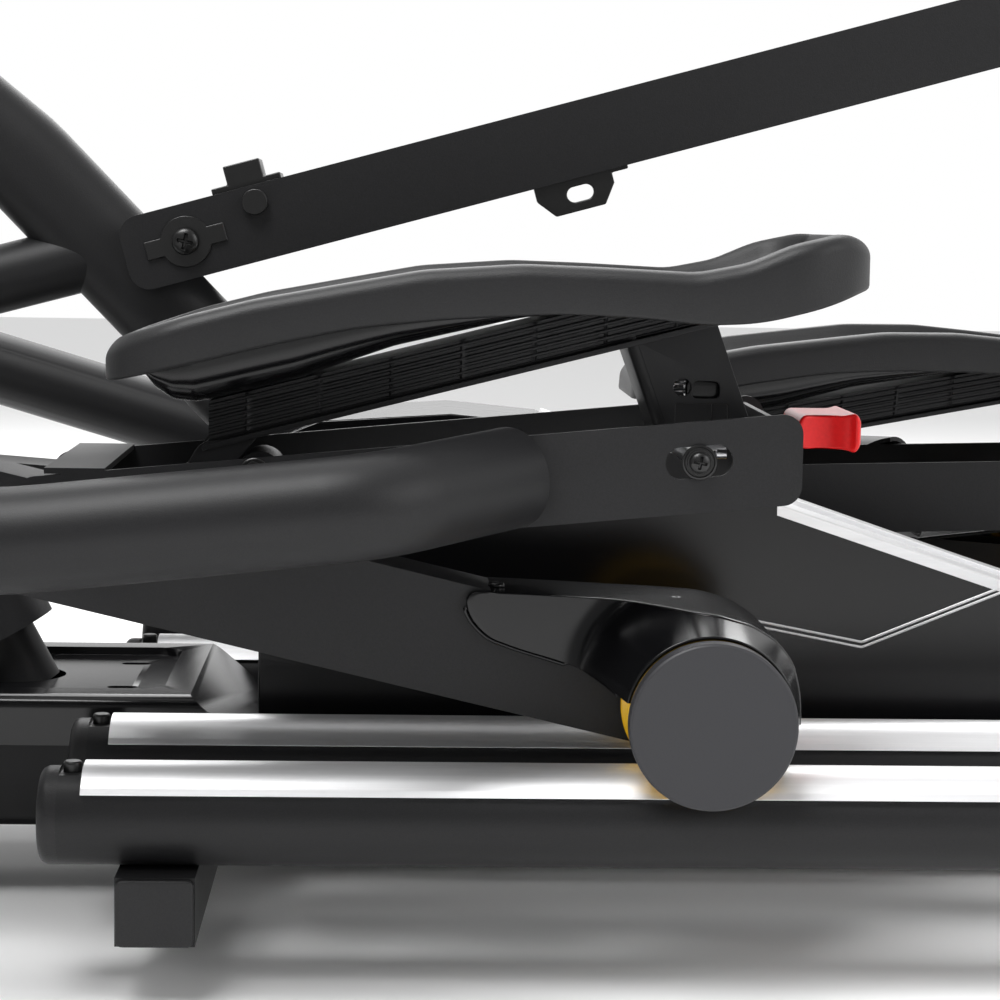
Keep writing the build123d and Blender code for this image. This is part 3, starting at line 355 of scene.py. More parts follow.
def screwMesh(name, centre, axis, radius, height, recess=0.45):
    """A domed head whose height falls off with the square of the radius, less a cross-shaped dip that
    fades outwards."""
    axis = np.array(axis, float) / np.linalg.norm(axis)
    side = np.cross(axis, (0.2, 0.1, 0.97))
    side /= np.linalg.norm(side)
    other = np.cross(axis, side)
    r = np.linspace(0.001, 1, 26)[:, None]
    a = np.linspace(0, 2 * np.pi, 72, endpoint=False)[None, :]
    u, v = r * np.cos(a), r * np.sin(a)
    cross = np.clip((0.13 - np.minimum(abs(u), abs(v))) / 0.05, 0, 1) * np.clip((0.62 - r) / 0.1, 0, 1)
    rise = height * (0.35 + 0.65 * np.sqrt(np.clip(1 - r**2, 0, 1))) - height * recess * cross
    top = np.array(centre) + radius * (u[..., None] * side + v[..., None] * other) + rise[..., None] * axis
    skirt = np.array(centre) + radius * (np.cos(a)[..., None] * side + np.sin(a)[..., None] * other)
    return gridMesh(name, np.concatenate([top, skirt], 0), closeV=True, capU=True)


# ---- CAD nodes: most keep their shape; the edged ones are shown as a welded copy with rounded edges ----
edgeWidth = {
    "main_frame": 0.002, "stabilizers": 0.0, "stabilizer_caps": 0.0, "base_cover": 0.003,
    "boom": 0.0015, "centre_housing_left": 0.004, "centre_housing_right": 0.004,
    "drive_housing_left": 0.006, "drive_housing_right": 0.006, "boom_fasteners": 0.0006,
    "boom_brackets": 0.0008, "crank_discs": 0.002, "rail_strips": 0.0004, "housing_trim": 0.001,
    "drive_frame": 0.001, "wheel_brackets": 0.001, "transport_wheel_left": 0.003,
    "transport_wheel_right": 0.003, "levelling_feet": 0.001, "console_housing": 0.002,
    "start_button": 0.0012, "stop_button": 0.0012, "fixed_handlebar": 0.001, "seat_post": 0.001,
    "left_foot_beam": 0.004, "right_foot_beam": 0.004, "left_pedal_arm": 0.0008,
    "right_pedal_arm": 0.0008, "left_roller_wheels": 0.001, "right_roller_wheels": 0.001,
    "flywheel": 0.002, "drive_pulley": 0.001, "console_screen": 0.0004, "left_roller_disc": 0.0005,
    "right_roller_disc": 0.0005,
}
slotOf = {part["node"]: part["material_slot"] for part in frame["record"]["subparts"]}
bodyOf = {node: body for body, nodes in frame["record"]["behaviour"]["bodies"].items() for node in nodes}


def mergedCopy(node):
    mesh = frame["nodes"][node].data.copy()
    work = bmesh.new()
    work.from_mesh(mesh)
    bmesh.ops.remove_doubles(work, verts=work.verts, dist=1e-5)
    bmesh.ops.dissolve_limit(work, angle_limit=math.radians(0.4), verts=work.verts, edges=work.edges)
    work.to_mesh(mesh)
    work.free()
    return mesh


for node, cadObject in frame["nodes"].items():
    slotName = slotOf[node]
    if edgeWidth.get(node):
        addPiece(
            node + "_edged",
            mergedCopy(node),
            bodyOf[node],
            slotName,
            bevel=edgeWidth[node],
            replaces=(node,),
        )
    else:
        cadObject.data.materials.clear()
        cadObject.data.materials.append(finish[slotName])
print("CAD nodes finished")


# ---- plates with holes ----
def rounded(points, radius, steps=6):
    """Each corner becomes a quadratic curve between the two places a radius away from it, (1-t)^2 a +
    2t(1-t) corner + t^2 b."""
    points = np.array(points, float)
    back = np.roll(points, 1, 0) - points
    ahead = np.roll(points, -1, 0) - points
    backLength = np.linalg.norm(back, axis=1, keepdims=True)
    aheadLength = np.linalg.norm(ahead, axis=1, keepdims=True)
    start = points + back / backLength * np.minimum(radius, backLength * 0.45)
    end = points + ahead / aheadLength * np.minimum(radius, aheadLength * 0.45)
    t = np.linspace(0, 1, steps)[None, :, None]
    curve = (1 - t) ** 2 * start[:, None] + 2 * t * (1 - t) * points[:, None] + t**2 * end[:, None]
    return curve.reshape(-1, 2)


def circle(x, z, radius, count=40):
    a = np.linspace(0, 2 * np.pi, count, endpoint=False)
    return np.stack([x + radius * np.cos(a), z + radius * np.sin(a)], -1)


def plateMesh(name, outline, holes, middle, thickness, side=left, group="arm", edge=0.0004):
    """A flat outline with holes, filled and given a thickness along Y, its edges rolled by a small
    bevel."""
    curve = bpy.data.curves.new(name, "CURVE")
    curve.dimensions = "2D"
    curve.fill_mode = "BOTH"
    curve.extrude = thickness / 2 - edge
    curve.bevel_depth = edge
    curve.offset = -edge
    for ring in (outline, *holes):
        ring = np.asarray(ring, float)
        spline = curve.splines.new("POLY")
        spline.points.add(len(ring) - 1)
        filled = np.concatenate([ring, np.zeros((len(ring), 1)), np.ones((len(ring), 1))], 1)
        spline.points.foreach_set("co", filled.ravel())
        spline.use_cyclic_u = True
    holder = bpy.data.objects.new(name, curve)
    bpy.context.scene.collection.objects.link(holder)
    mesh = bpy.data.meshes.new_from_object(holder.evaluated_get(bpy.context.evaluated_depsgraph_get()))
    bpy.data.objects.remove(holder)
    bpy.data.curves.remove(curve)
    flat = np.zeros(len(mesh.vertices) * 3)
    mesh.vertices.foreach_get("co", flat)
    flat = flat.reshape(-1, 3)
    solid = np.stack([flat[:, 0], middle + flat[:, 2], flat[:, 1]], -1)
    mesh.vertices.foreach_set("co", placed(solid, side, group).ravel())
    work = bmesh.new()
    work.from_mesh(mesh)
    bmesh.ops.remove_doubles(work, verts=work.verts, dist=1e-6)
    bmesh.ops.recalc_face_normals(work, faces=work.faces)
    work.to_mesh(mesh)
    work.free()
    return mesh


def tubeMesh(name, path, radius, count=14):
    """A circle carried along a path; at each station its frame is set by crossing the path's direction with one
    fixed vector."""
    path = np.asarray(path, float)
    along = np.gradient(path, axis=0)
    along /= np.linalg.norm(along, axis=1, keepdims=True)
    side = np.cross(along, (0.13, 0.91, 0.39))
    side /= np.linalg.norm(side, axis=1, keepdims=True)
    other = np.cross(along, side)
    a = np.linspace(0, 2 * np.pi, count, endpoint=False)[None, :, None]
    points = path[:, None] + radius * (np.cos(a) * side[:, None] + np.sin(a) * other[:, None])
    return gridMesh(name, points, closeV=True, capU=True)


# ---- foot pedals ----
pedal = {
    "middle": -0.208,
    "halfWidth": 0.088,
    "front": 0.0575,
    "rear": 0.4435,
    "corner": 0.042,
    "dish": 0.0115,
    "ribs": (0.1, 0.405),
    "ribHalf": 0.0036,
    "ribHeight": 0.0024,
    "top": (
        (0.0575, 0.3265), (0.064, 0.3315), (0.0989, 0.3433), (0.1333, 0.3522), (0.1824, 0.3615), (
            0.2168, 0.3679
        ),
        (0.2659, 0.3715), (0.3052, 0.3705), (0.3529, 0.3685), (0.378, 0.3735), (0.4, 0.383), (0.426, 0.389), (
            0.4435, 0.3845
        ),
    ),
    "bottom": (
        (0.0575, 0.309), (0.1038, 0.3202), (0.1431, 0.33), (0.1824, 0.3384), (0.2266, 0.3435), (
            0.2856, 0.3472
        ),
        (0.3298, 0.3455), (0.3544, 0.3425), (0.3839, 0.3438), (0.4183, 0.3525), (0.4435, 0.3625),
    ),
}
pedalTop, pedalBottom = smoothCurve(pedal["top"], 0.012), smoothCurve(pedal["bottom"], 0.024)


def roundedPlan(halfLength, halfWidth, corner):
    """A rounded rectangle with the same number of points on each side and corner, whatever its size."""
    straightX, straightY = halfLength - corner, halfWidth - corner
    arc = np.linspace(0, np.pi / 2, 15)[:-1]
    pieces = []
    for quarter, (signX, signY) in enumerate(((1, 1), (-1, 1), (-1, -1), (1, -1))):
        angle = arc + quarter * np.pi / 2
        pieces.append(
            np.stack(
                [signX * straightX + corner * np.cos(angle), signY * straightY + corner * np.sin(angle)], -1
            )
        )
        along = np.linspace(-1, 1, 90 if quarter % 2 == 0 else 24, endpoint=False)
        if quarter == 0:
            pieces.append(np.stack([-along * straightX, np.full(len(along), halfWidth)], -1))
        if quarter == 1:
            pieces.append(np.stack([np.full(len(along), -halfLength), -along * straightY], -1))
        if quarter == 2:
            pieces.append(np.stack([along * straightX, np.full(len(along), -halfWidth)], -1))
        if quarter == 3:
            pieces.append(np.stack([np.full(len(along), halfLength), along * straightY], -1))
    return np.concatenate(pieces)


def treadMesh(name, side):
    """Rings over a rounded-rectangle plan. Each ring has an inset from the edge and a level, measured
    down from the top curve or up from the bottom curve: dish, inner slope, rolled rim, skirt, hem,
    underside."""
    halfLength = (pedal["rear"] - pedal["front"]) / 2
    middle = (pedal["rear"] + pedal["front"]) / 2
    inner = [(d, pedal["dish"], 0) for d in np.linspace(pedal["halfWidth"] - 0.0015, 0.0235, 22)]
    slope = [
        (
            0.0235 - 0.009 * t, pedal["dish"] * (0.5 + 0.5 * math.cos(math.pi * t)), 0
        ) for t in np.linspace(0.1, 1, 9)
    ]
    flat = [(0.012, 0.0, 0), (0.009, 0.0001, 0)]
    roll = [
        (0.008 * (1 - math.sin(t)), 0.008 * (1 - math.cos(t)), 0) for t in np.linspace(
            0.15, math.pi / 2, 10
        )
    ]
    hem = [(0.0, 0.002, 1), (0.0004, 0.0006, 1), (0.0012, 0.0, 1), (0.003, 0.0003, 1), (0.0034, 0.004, 1)]
    under = [(d, 0.004, 1) for d in np.linspace(0.012, pedal["halfWidth"] - 0.0015, 10)]
    rings = []
    for inset, level, fromBottom in inner + slope + flat + roll + hem + under:
        plan = roundedPlan(
            halfLength - inset, pedal["halfWidth"] - inset, max(pedal["corner"] - inset, 0.0008)
        )
        x = middle + plan[:, 0]
        z = pedalBottom(x) + level if fromBottom else pedalTop(x) - level
        rings.append(np.stack([x, pedal["middle"] + plan[:, 1], z], -1))
    return gridMesh(name, placed(np.array(rings), side, "arm"), closeV=True, capU=True)


def ribMesh(name, side):
    """Low cross ribs on the dish: each rib is a half-cosine bump carried across the pedal, faded out at
    its ends."""
    ribs = []
    for station in np.linspace(*pedal["ribs"], 20):
        u = np.linspace(-1, 1, 9)[:, None]
        v = np.linspace(-1, 1, 26)[None, :]
        reach = pedal["halfWidth"] - 0.028
        x = station + pedal["ribHalf"] * u + 0.006 * v**2
        lift = pedal["ribHeight"] * np.cos(u * np.pi / 2) * np.clip((1 - abs(v)) / 0.08, 0, 1)
        z = pedalTop(x) - pedal["dish"] + lift - 0.0002
        ribs.append(
            gridMesh("rib", placed(np.stack([x, pedal["middle"] + reach * v + 0 * u, z], -1), side, "arm"))
        )
    return joinMeshes(name, ribs)


tray = {
    "low": (
        (0.078, 0.3135), (0.082, 0.306), (0.0916, 0.2995), (0.1036, 0.2985), (0.1143, 0.301), (
            0.1541, 0.3109
        ),
        (0.2029, 0.3283), (0.2627, 0.3428), (0.28, 0.346),
    ),
    "halfWidth": 0.072,
}


def trayMesh(name, side):
    """A shallow hull under the tread: across, z = top - depth |sin v|^0.45 and y = width |cos v|^0.45;
    both sizes follow the length, and the width closes towards the front as a square root."""
    lowAt = smoothCurve(tray["low"], 0.005)
    u = np.linspace(0, 1, 110)[:, None]
    v = np.linspace(0, np.pi, 61)[None, :]
    x = 0.0785 + (1 - np.cos(u * np.pi / 2)) * 0.2
    top = pedalBottom(x) + 0.003
    depth = np.maximum(top - lowAt(x), 0.0004)
    width = tray["halfWidth"] * np.clip(0.78 + (x - 0.0785) * 9, 0, 1) ** 0.5
    z = top - depth * abs(np.sin(v)) ** 0.45
    y = pedal["middle"] + width * np.sign(np.cos(v)) * abs(np.cos(v)) ** 0.45
    return gridMesh(name, placed(np.stack([x + 0 * v, y, z], -1), side, "arm"), capU=True)


rail = {
    "front": 0.1085,
    "rear": 0.37,
    "lowFront": 0.2772,
    "slope": 0.257,
    "halfWidth": 0.0365,
    "depth": 0.0215,
    "ribPitch": 0.0036,
    "ribHeight": 0.0011,
    "dividerPitch": 0.0365,
    "dividerHeight": 0.0014,
    "flange": 0.003,
    "flangeEnds": (0.1055, 0.371),
    "flangeWidth": 0.078,
    "ear": ((0.087, 0.2475), (0.105, 0.2475), (0.135, 0.2825), (0.104, 0.2775)),
    "earPlace": 0.0345,
    "hinge": (0.095, 0.254),
    "hingeReach": 0.043,
    "hingeRadius": 0.007,
}


def railLow(x):
    return rail["lowFront"] + (x - rail["front"]) * rail["slope"]


def railMesh(name, side):
    """The rail under the pedal: on each flank long ribs, y = a tanh(3 sin) up the height, with a few
    upright dividers."""
    u = np.linspace(0, 1, 240)[:, None]
    v = np.linspace(0, 1, 56)[None, :]
    x = rail["front"] + u * (rail["rear"] - rail["front"])
    low = railLow(x)
    high = np.maximum(np.minimum(pedalBottom(x) + 0.003, low + rail["depth"]), low + 0.004)
    z = low + v * (high - low)
    ribs = rail["ribHeight"] * np.tanh(3 * np.sin((z - low) * 2 * np.pi / rail["ribPitch"])) * np.clip(
        v * (1 - v) * 14, 0, 1
    )
    near = np.cos((x - rail["front"] - 0.02) * 2 * np.pi / rail["dividerPitch"])
    upright = rail["dividerHeight"] * np.clip((near - 0.985) / 0.012, 0, 1) * np.clip(
        v * (1 - v) * 14, 0, 1
    )
    reach = rail["halfWidth"] - 0.0016 + np.maximum(ribs, upright) + 0 * v
    sections = [
        np.stack([x + 0 * v, pedal["middle"] - reach, z], -1),
        np.stack([x + 0 * v, pedal["middle"] + reach, z], -1)[:, ::-1],
    ]
    return gridMesh(name, placed(np.concatenate(sections, 1), side, "arm"), closeV=True, capU=True)


post = {
    "low": 0.2765,
    "high": 0.332,
    "leftHigh": 0.3195,
    "lean": 0.36,
    "width": 0.0505,
    "half": 0.036,
    "wall": 0.003,
    "bend": 0.006,
    "hole": (0.3508, 0.309, 0.0046),
    "window": (0.3556, 0.3702, 0.3035, 0.3125),
    "notch": (0.3475, 0.3745, 0.3005),
}


def postLeft(z):
    return post["leftHigh"] + (0.3365 - z) * post["lean"]


def postMeshes(side):
    """The post is a folded channel: two flanks with a round hole, an arched window and a notch that
    clears the lock pin, and a front wall whose corners are quarter circles."""
    low, high = post["low"], post["high"]
    notchFront, notchRear, notchTop = post["notch"]
    outline = rounded(
        (
            (postLeft(high) + post["bend"], high),
            (postLeft(low) + post["bend"], low),
            (notchFront, low),
            (notchFront, notchTop),
            (notchRear, notchTop),
            (notchRear, low),
            (postLeft(low) + post["width"], low),
            (postLeft(0.3425) + post["width"], 0.3425),
        ),
        0.0012,
    )
    x0, x1, z0, z1 = post["window"]
    window = rounded(((x0, z0), (x1, z0), (x1, z1 - 0.0005), (x0 + 0.001, z1)), 0.003)
    meshes = []
    for way in (-1, 1):
        meshes.append(
            plateMesh(
                "flank",
                outline,
                (circle(*post["hole"]), window),
                pedal["middle"] + way * (post["half"] - post["wall"] / 2),
                post["wall"],
                side,
            )
        )
    a = np.linspace(0, np.pi / 2, 8)
    bend, half = post["bend"], post["half"]
    cornerX, cornerY = bend * (1 - np.cos(a)), -half + bend * (1 - np.sin(a))
    outX = np.concatenate([cornerX[::-1], cornerX])
    outY = np.concatenate([cornerY[::-1], -cornerY])
    inner = bend - post["wall"]
    inX = np.concatenate([(bend - inner * np.cos(a)), (bend - inner * np.cos(a))[::-1]])
    inY = np.concatenate([half - bend + inner * np.sin(a), (-(half - bend) - inner * np.sin(a))[::-1]])
    ringX, ringY = np.concatenate([outX, inX]), np.concatenate([outY, inY])
    z = np.linspace(low, high + 0.004, 12)[:, None]
    points = np.stack(
        [postLeft(z) + ringX[None, :], pedal["middle"] + ringY[None, :] + 0 * z, z + 0 * ringX[None, :]], -1
    )
    meshes.append(gridMesh("front", placed(points, side, "arm"), closeV=True, capU=True))
    return meshes


def springMesh(name, side):
    """A coil: x and y follow a circle while z climbs evenly."""
    t = np.linspace(0, 1, 260)
    angle = t * 2 * np.pi * 7
    lean = 0.3512 - (t - 0.5) * 0.012
    path = np.stack(
        [lean + 0.0072 * np.cos(angle), pedal["middle"] + 0.0072 * np.sin(angle), 0.3035 + t * 0.027], -1
    )
    return tubeMesh(name, placed(path, side, "arm"), 0.0007, 8)


for side in sides:
    body = side + "_pedal"
    tread = addPiece(
        side + "Tread",
        treadMesh(side + "Tread", side),
        body,
        "matte_black",
        replaces=(side + "_pedal_tread",),
    )
    softEdges(tread, 70)
    softEdges(addPiece(side + "TreadRibs", ribMesh(side + "TreadRibs", side), body, "matte_black"), 70)
    softEdges(addPiece(side + "PedalTray", trayMesh(side + "PedalTray", side), body, "gloss_black"), 80)
    softEdges(addPiece(side + "RailCover", railMesh(side + "RailCover", side), body, "matte_black"), 45)
    start, end = rail["flangeEnds"]
    low, high = railLow(start), railLow(end)
    corners = ((start, low - rail["flange"]), (end, high - rail["flange"]), (end, high), (start, low))
    flange = rounded(corners, 0.001)
    ear = rounded(rail["ear"], 0.005)
    frameParts = postMeshes(side)
    frameParts.append(plateMesh("flange", flange, (), pedal["middle"], rail["flangeWidth"], side))
    for way in (-1, 1):
        frameParts.append(
            plateMesh("ear", ear, (), pedal["middle"] + way * rail["earPlace"], rail["flange"], side)
        )
    reach, radius = rail["hingeReach"], rail["hingeRadius"]
    hingeX, hingeZ = rail["hinge"]
    hinge = np.array([(hingeX, pedal["middle"] - reach, hingeZ), (hingeX, pedal["middle"] + reach, hingeZ)])
    hinge = placed(hinge, side, "arm")
    pinProfile = ((0, radius - 0.003), (0, radius), (2 * reach, radius), (2 * reach, radius - 0.003))
    frameParts.append(latheMesh("hinge", hinge[0], hinge[1] - hinge[0], pinProfile))
    frameMesh = joinMeshes(side + "PedalFrame", frameParts)
    addPiece(side + "PedalFrame", frameMesh, body, "frame_paint", replaces=(side + "_pedal_frame",))
    camOutline = rounded(((0.3535, 0.3015), (0.373, 0.3015), (0.3735, 0.3118), (0.3535, 0.3135)), 0.004)
    cam = plateMesh(side + "PedalCam", camOutline, (), pedal["middle"] - 0.0225, 0.014, side, edge=0.0012)
    addPiece(side + "PedalCam", cam, body, "gloss_black")
    addPiece(side + "PedalSpring", springMesh(side + "PedalSpring", side), body, "steel")
print("pedals finished")

# ---- roller covers ----
cover = {
    "axle": (0.363, 0.145),
    "bore": 0.0435,
    "face": -0.2395,
    "end": -0.3005,
    "inboard": -0.1795,
    "outline": (
        (0.0465, -0.004), (0.047, 0.012), (0.0445, 0.026), (0.0355, 0.037), (0.0225, 0.045), (0.006, 0.0495), (
            -0.02, 0.0517
        ),
        (-0.054, 0.0535), (-0.09, 0.0553), (-0.118, 0.0563), (-0.1205, 0.055), (-0.121, 0.05), (-0.118, 0.0415), (
            -0.109, 0.0325
        ),
        (-0.094, 0.027), (-0.075, 0.0215), (-0.062, 0.0175), (-0.0525, 0.014), (-0.0455, 0.0105),
    ),
    "shell": 0.002,
    "flareReach": 0.034,
    "flarePower": 2.6,
    "lip": 0.003,
    "lipShare": 0.35,
    "shallowEnd": -0.2375,
    "clips": ((0.258, -0.2165, 0.2015), (0.352, -0.2165, 0.195)),
    "clipRadius": 0.0045,
    "clipHeight": 0.0022,
}


def coverMesh(name, side):
    """Ruled in XZ from the bore circle to the outline, t along both and s from one to the other. The
    distance r from the axle sets how far out the skin stands: end + (face - end) * smoothstep((r -
    bore) / reach), so the drum flares into the plate; then the skin rolls over the outline's edge and
    runs inboard, deep along the top and shallow below."""
    outline = np.array(cover["outline"])
    steps = np.concatenate([[0], np.cumsum(np.linalg.norm(np.diff(outline, axis=0), axis=1))])
    t = np.linspace(0, 1, 260)
    spread = t * steps[-1]
    ox, oz = np.interp(spread, steps, outline[:, 0]), np.interp(spread, steps, outline[:, 1])
    soften = np.ones(9) / 9
    ox = np.convolve(np.pad(ox, 4, mode="edge"), soften, mode="valid")
    oz = np.convolve(np.pad(oz, 4, mode="edge"), soften, mode="valid")
    angle = np.interp(t, (0, 0.3, 1), (math.radians(-5), math.radians(88), math.radians(167)))
    ix, iz = cover["bore"] * np.cos(angle), cover["bore"] * np.sin(angle)
    s = np.linspace(0, 1, 44)[None, :] ** 1.35
    x, z = ix[:, None] + (ox - ix)[:, None] * s, iz[:, None] + (oz - iz)[:, None] * s
    r = np.hypot(x, z)
    share = np.clip((r - cover["bore"]) / cover["flareReach"], 0, 1)
    lift = 1 - (1 - share) ** cover["flarePower"]
    y = cover["end"] + (cover["face"] - cover["end"]) * lift
    edgeY = y[:, -1]
    turn = np.linspace(0.2, np.pi / 2, 6)
    away = np.stack([ox, oz - 0.03], -1)
    away /= np.linalg.norm(away, axis=1, keepdims=True)
    topPart = np.clip((oz - 0.045) / 0.006, 0, 1)
    drumPart = np.clip((ox + 0.02) / 0.02, 0, 1)
    deep = np.maximum(topPart, drumPart)
    target = np.where(deep > 0.5, cover["inboard"], cover["shallowEnd"])
    lip = cover["lip"]
    rollX = ox[:, None] + away[:, :1] * lip * np.sin(turn)[None, :] * cover["lipShare"]
    rollZ = oz[:, None] + away[:, 1:] * lip * np.sin(turn)[None, :] * cover["lipShare"]
    rollY = edgeY[:, None] + lip * (1 - np.cos(turn))[None, :]
    run = np.linspace(0.08, 1, 14)[None, :]
    runY = rollY[:, -1:] + (target[:, None] - rollY[:, -1:]) * run
    runX, runZ = rollX[:, -1:] + 0 * run, rollZ[:, -1:] + 0 * run
    grid = np.stack(
        [
            cover["axle"][0] + np.concatenate([x, rollX, runX], 1),
            np.concatenate([y, rollY, runY], 1),
            cover["axle"][1] + np.concatenate([z, rollZ, runZ], 1),
        ],
        -1,
    )
    return gridMesh(name, placed(grid, side, "beam"))


for side in sides:
    hood = addPiece(
        side + "RollerHood",
        coverMesh(side + "RollerHood", side),
        side + "_beam",
        "gloss_black",
        replaces=(side + "_roller_cover",),
    )
    softEdges(hood, 55)
    shell = hood.modifiers.new("shell", "SOLIDIFY")
    shell.thickness = cover["shell"]
    shell.offset = -1
    clips = []
    for place in cover["clips"]:
        clipAt = placed(np.array(place), side, "beam")
        clips.append(screwMesh("clip", clipAt, (0, 0, 1), cover["clipRadius"], cover["clipHeight"]))
    addPiece(side + "HoodClips", joinMeshes(side + "HoodClips", clips), side + "_beam", "gloss_black")
print("roller covers finished")

# ---- caps in the open ends of the cross bars ----
crossBar = {
    "places": (0.087, 0.762), "reach": 0.303, "low": 0.0305, "high": 0.0645, "width": 0.04, "cap": 0.004
}


def capMesh(name):
    """Rounded plates with a rolled edge, one on each end of each cross bar."""
    caps = []
    half = crossBar["width"] / 2 - 0.0005
    for x in crossBar["places"]:
        corners = (
            (x - half, crossBar["low"]),
            (x + half, crossBar["low"]),
            (x + half, crossBar["high"]),
            (x - half, crossBar["high"]),
        )
        for way in (-1, 1):
            middle = way * (crossBar["reach"] + crossBar["cap"] / 2 + 0.0002)
            caps.append(plateMesh("cap", rounded(corners, 0.004), (), middle, crossBar["cap"], edge=0.0012))
    return joinMeshes(name, caps)


addPiece("crossCaps", capMesh("crossCaps"), "frame", "matte_black")

# ---- lock levers ----
lever = {
    "lockX": 0.356,
    "lockZ": 0.274,
    "front": 0.4125,
    "rear": 0.4445,
    "low": 0.2775,
    "high": 0.295,
    "near": -0.2405,
    "dish": 0.0045,
    "lip": 0.002,
    "swell": 0.0014,
    "corner": 0.0045,
    "pinRadius": 0.005,
    "pinFront": -0.2872,
    "pinLength": 0.158,
}


def handleMesh(name, side):
    """Rings of a rounded outline in XZ. The near face is dished, y = near + depth cos^2 across its
    width, with a lip standing proud at its rear edge; then the sides run back to the far face."""
    middleX, middleZ = (lever["front"] + lever["rear"]) / 2, (lever["low"] + lever["high"]) / 2
    halfX, halfZ = (lever["rear"] - lever["front"]) / 2, (lever["high"] - lever["low"]) / 2
    faceRings = [(share, 0.0) for share in np.linspace(0.04, 0.9, 18)] + [(0.96, 0.0004), (1.0, 0.0018)]
    sideRings = [(1.0, back) for back in np.linspace(0.004, 0.06, 12)]
    backRings = [(0.95, 0.0632), (0.6, 0.0645), (0.04, 0.0645)]
    rings = []
    for share, back in faceRings + sideRings + backRings:
        plan = roundedPlan(halfX * share, halfZ * share, lever["corner"] * share)
        u, w = plan[:, 0] / halfX, plan[:, 1] / halfZ
        dish = lever["dish"] * np.clip(np.cos(np.clip((u + 0.25) / 0.95, -1, 1) * np.pi / 2), 0, 1) ** 1.4
        lip = -lever["lip"] * np.exp(-(((u - 0.86) / 0.13) ** 2))
        face = (dish + lip) * (back < 0.003)
        swell = lever["swell"] * np.exp(-(((u - 0.8) / 0.22) ** 2)) * w
        rings.append(
            np.stack([middleX + plan[:, 0], lever["near"] + back + face, middleZ + plan[:, 1] + swell], -1)
        )
    return gridMesh(name, placed(np.array(rings), side, "arm"), closeV=True, capU=True)


for side in sides:
    body = side + "_lever"
    handle = addPiece(
        side + "Handle",
        handleMesh(side + "Handle", side),
        body,
        "lever_red",
        replaces=(side + "_lock_lever",),
    )
    softEdges(handle, 60)
    ends = np.array(
        [(lever["lockX"], lever["pinFront"], lever["lockZ"]), (lever["lockX"], -0.129, lever["lockZ"])]
    )
    ends = placed(ends, side, "arm")
    radius, length = lever["pinRadius"], lever["pinLength"]
    pinProfile = ((0, radius - 0.002), (0, radius), (length, radius), (length, radius - 0.002))
    parts = [latheMesh("pin", ends[0], ends[1] - ends[0], pinProfile)]
    stem = rounded(((0.359, 0.2725), (0.359, 0.2785), (0.42, 0.2885), (0.42, 0.2795)), 0.001)
    parts.append(plateMesh("stem", stem, (), pedal["middle"], 0.012, side))
    addPiece(side + "LeverPin", joinMeshes(side + "LeverPin", parts), body, "steel")
print("levers finished")

# ---- screws and washers ----
for side in sides:
    outward = np.array((0, -1 if side == left else 1, 0))
    lockAt = placed(np.array([lever["lockX"], -0.2836, lever["lockZ"]]), side, "arm")
    washer = (
        (0, 0.005),
        (0, 0.0086),
        (0.0008, 0.0089),
        (0.0014, 0.0086),
        (0.0016, 0.0078),
        (0.0011, 0.0072),
        (0.0011, 0.0064),
        (0.0026, 0.0062),
        (0.0026, 0.003),
    )
    parts = [
        latheMesh("washer", lockAt, outward, washer),
        screwMesh("head", lockAt + outward * 0.0024, outward, 0.0054, 0.0042),
    ]
    addPiece(side + "LockScrew", joinMeshes(side + "LockScrew", parts), side + "_lever", "black_steel")
    glint = placed(np.array([(0.3655, -0.274, 0.2775), (0.3705, -0.274, 0.2775)]), side, "arm")
    clip = latheMesh(
        side + "LeverClip",
        glint[0],
        glint[1] - glint[0],
        ((0, 0.001), (0, 0.0024), (0.005, 0.0024), (0.005, 0.001)),
    )
    addPiece(side + "LeverClip", clip, side + "_lever", "steel")
    boltAt = placed(armAt[left] + (0, -0.283 - armAt[left][1], 0.006), side, "arm")
    hexagon = [
        latheMesh(
            "hex",
            boltAt,
            outward,
            ((0, 0.0062), (0.0038, 0.0062), (0.0046, 0.0054), (0.0046, 0.0035), (0.004, 0.003)),
            6,
        )
    ]
    hexagon.append(
        latheMesh(
            "base", boltAt, outward, ((0, 0.0074), (0.001, 0.0074), (0.0013, 0.007), (0.0013, 0.005)), 40
        )
    )
    addPiece(side + "PivotBolt", joinMeshes(side + "PivotBolt", hexagon), side + "_arm", "black_steel")

keyed = np.array([0.080, 0, 0.378])
keyedScrews = [
    screwMesh("screw", keyed + (0, way * 0.0405, 0), (0, way, 0), 0.0078, 0.0045) for way in (-1, 1)
]
addPiece("boomScrews", joinMeshes("boomScrews", keyedScrews), "frame", "black_steel")

# ---- housing accent lines and the bright ribbon along its back ----
accent = {
    "radius": 0.0008,
    "gap": 0.0031,
    "route": ((0.398, 0.1646), (0.479, 0.1492), (0.4805, 0.149), (0.566, 0.184)),
}


def accentMesh(name):
    """Two thin lines on each flank: a circle carried along the route, each lower than the last by the
    gap."""
    x = np.linspace(0.398, 0.566, 120)
    z = np.interp(x, [p[0] for p in accent["route"]], [p[1] for p in accent["route"]])
    lines = []
    for way in (-1, 1):
        for drop in (0, accent["gap"]):
            lines.append(
                tubeMesh(
                    "line", np.stack([x, np.full(len(x), way * 0.0601), z - drop], -1), accent["radius"], 10
                )
            )
    return joinMeshes(name, lines)


addPiece("housingAccent", accentMesh("housingAccent"), "frame", "bright_strip")


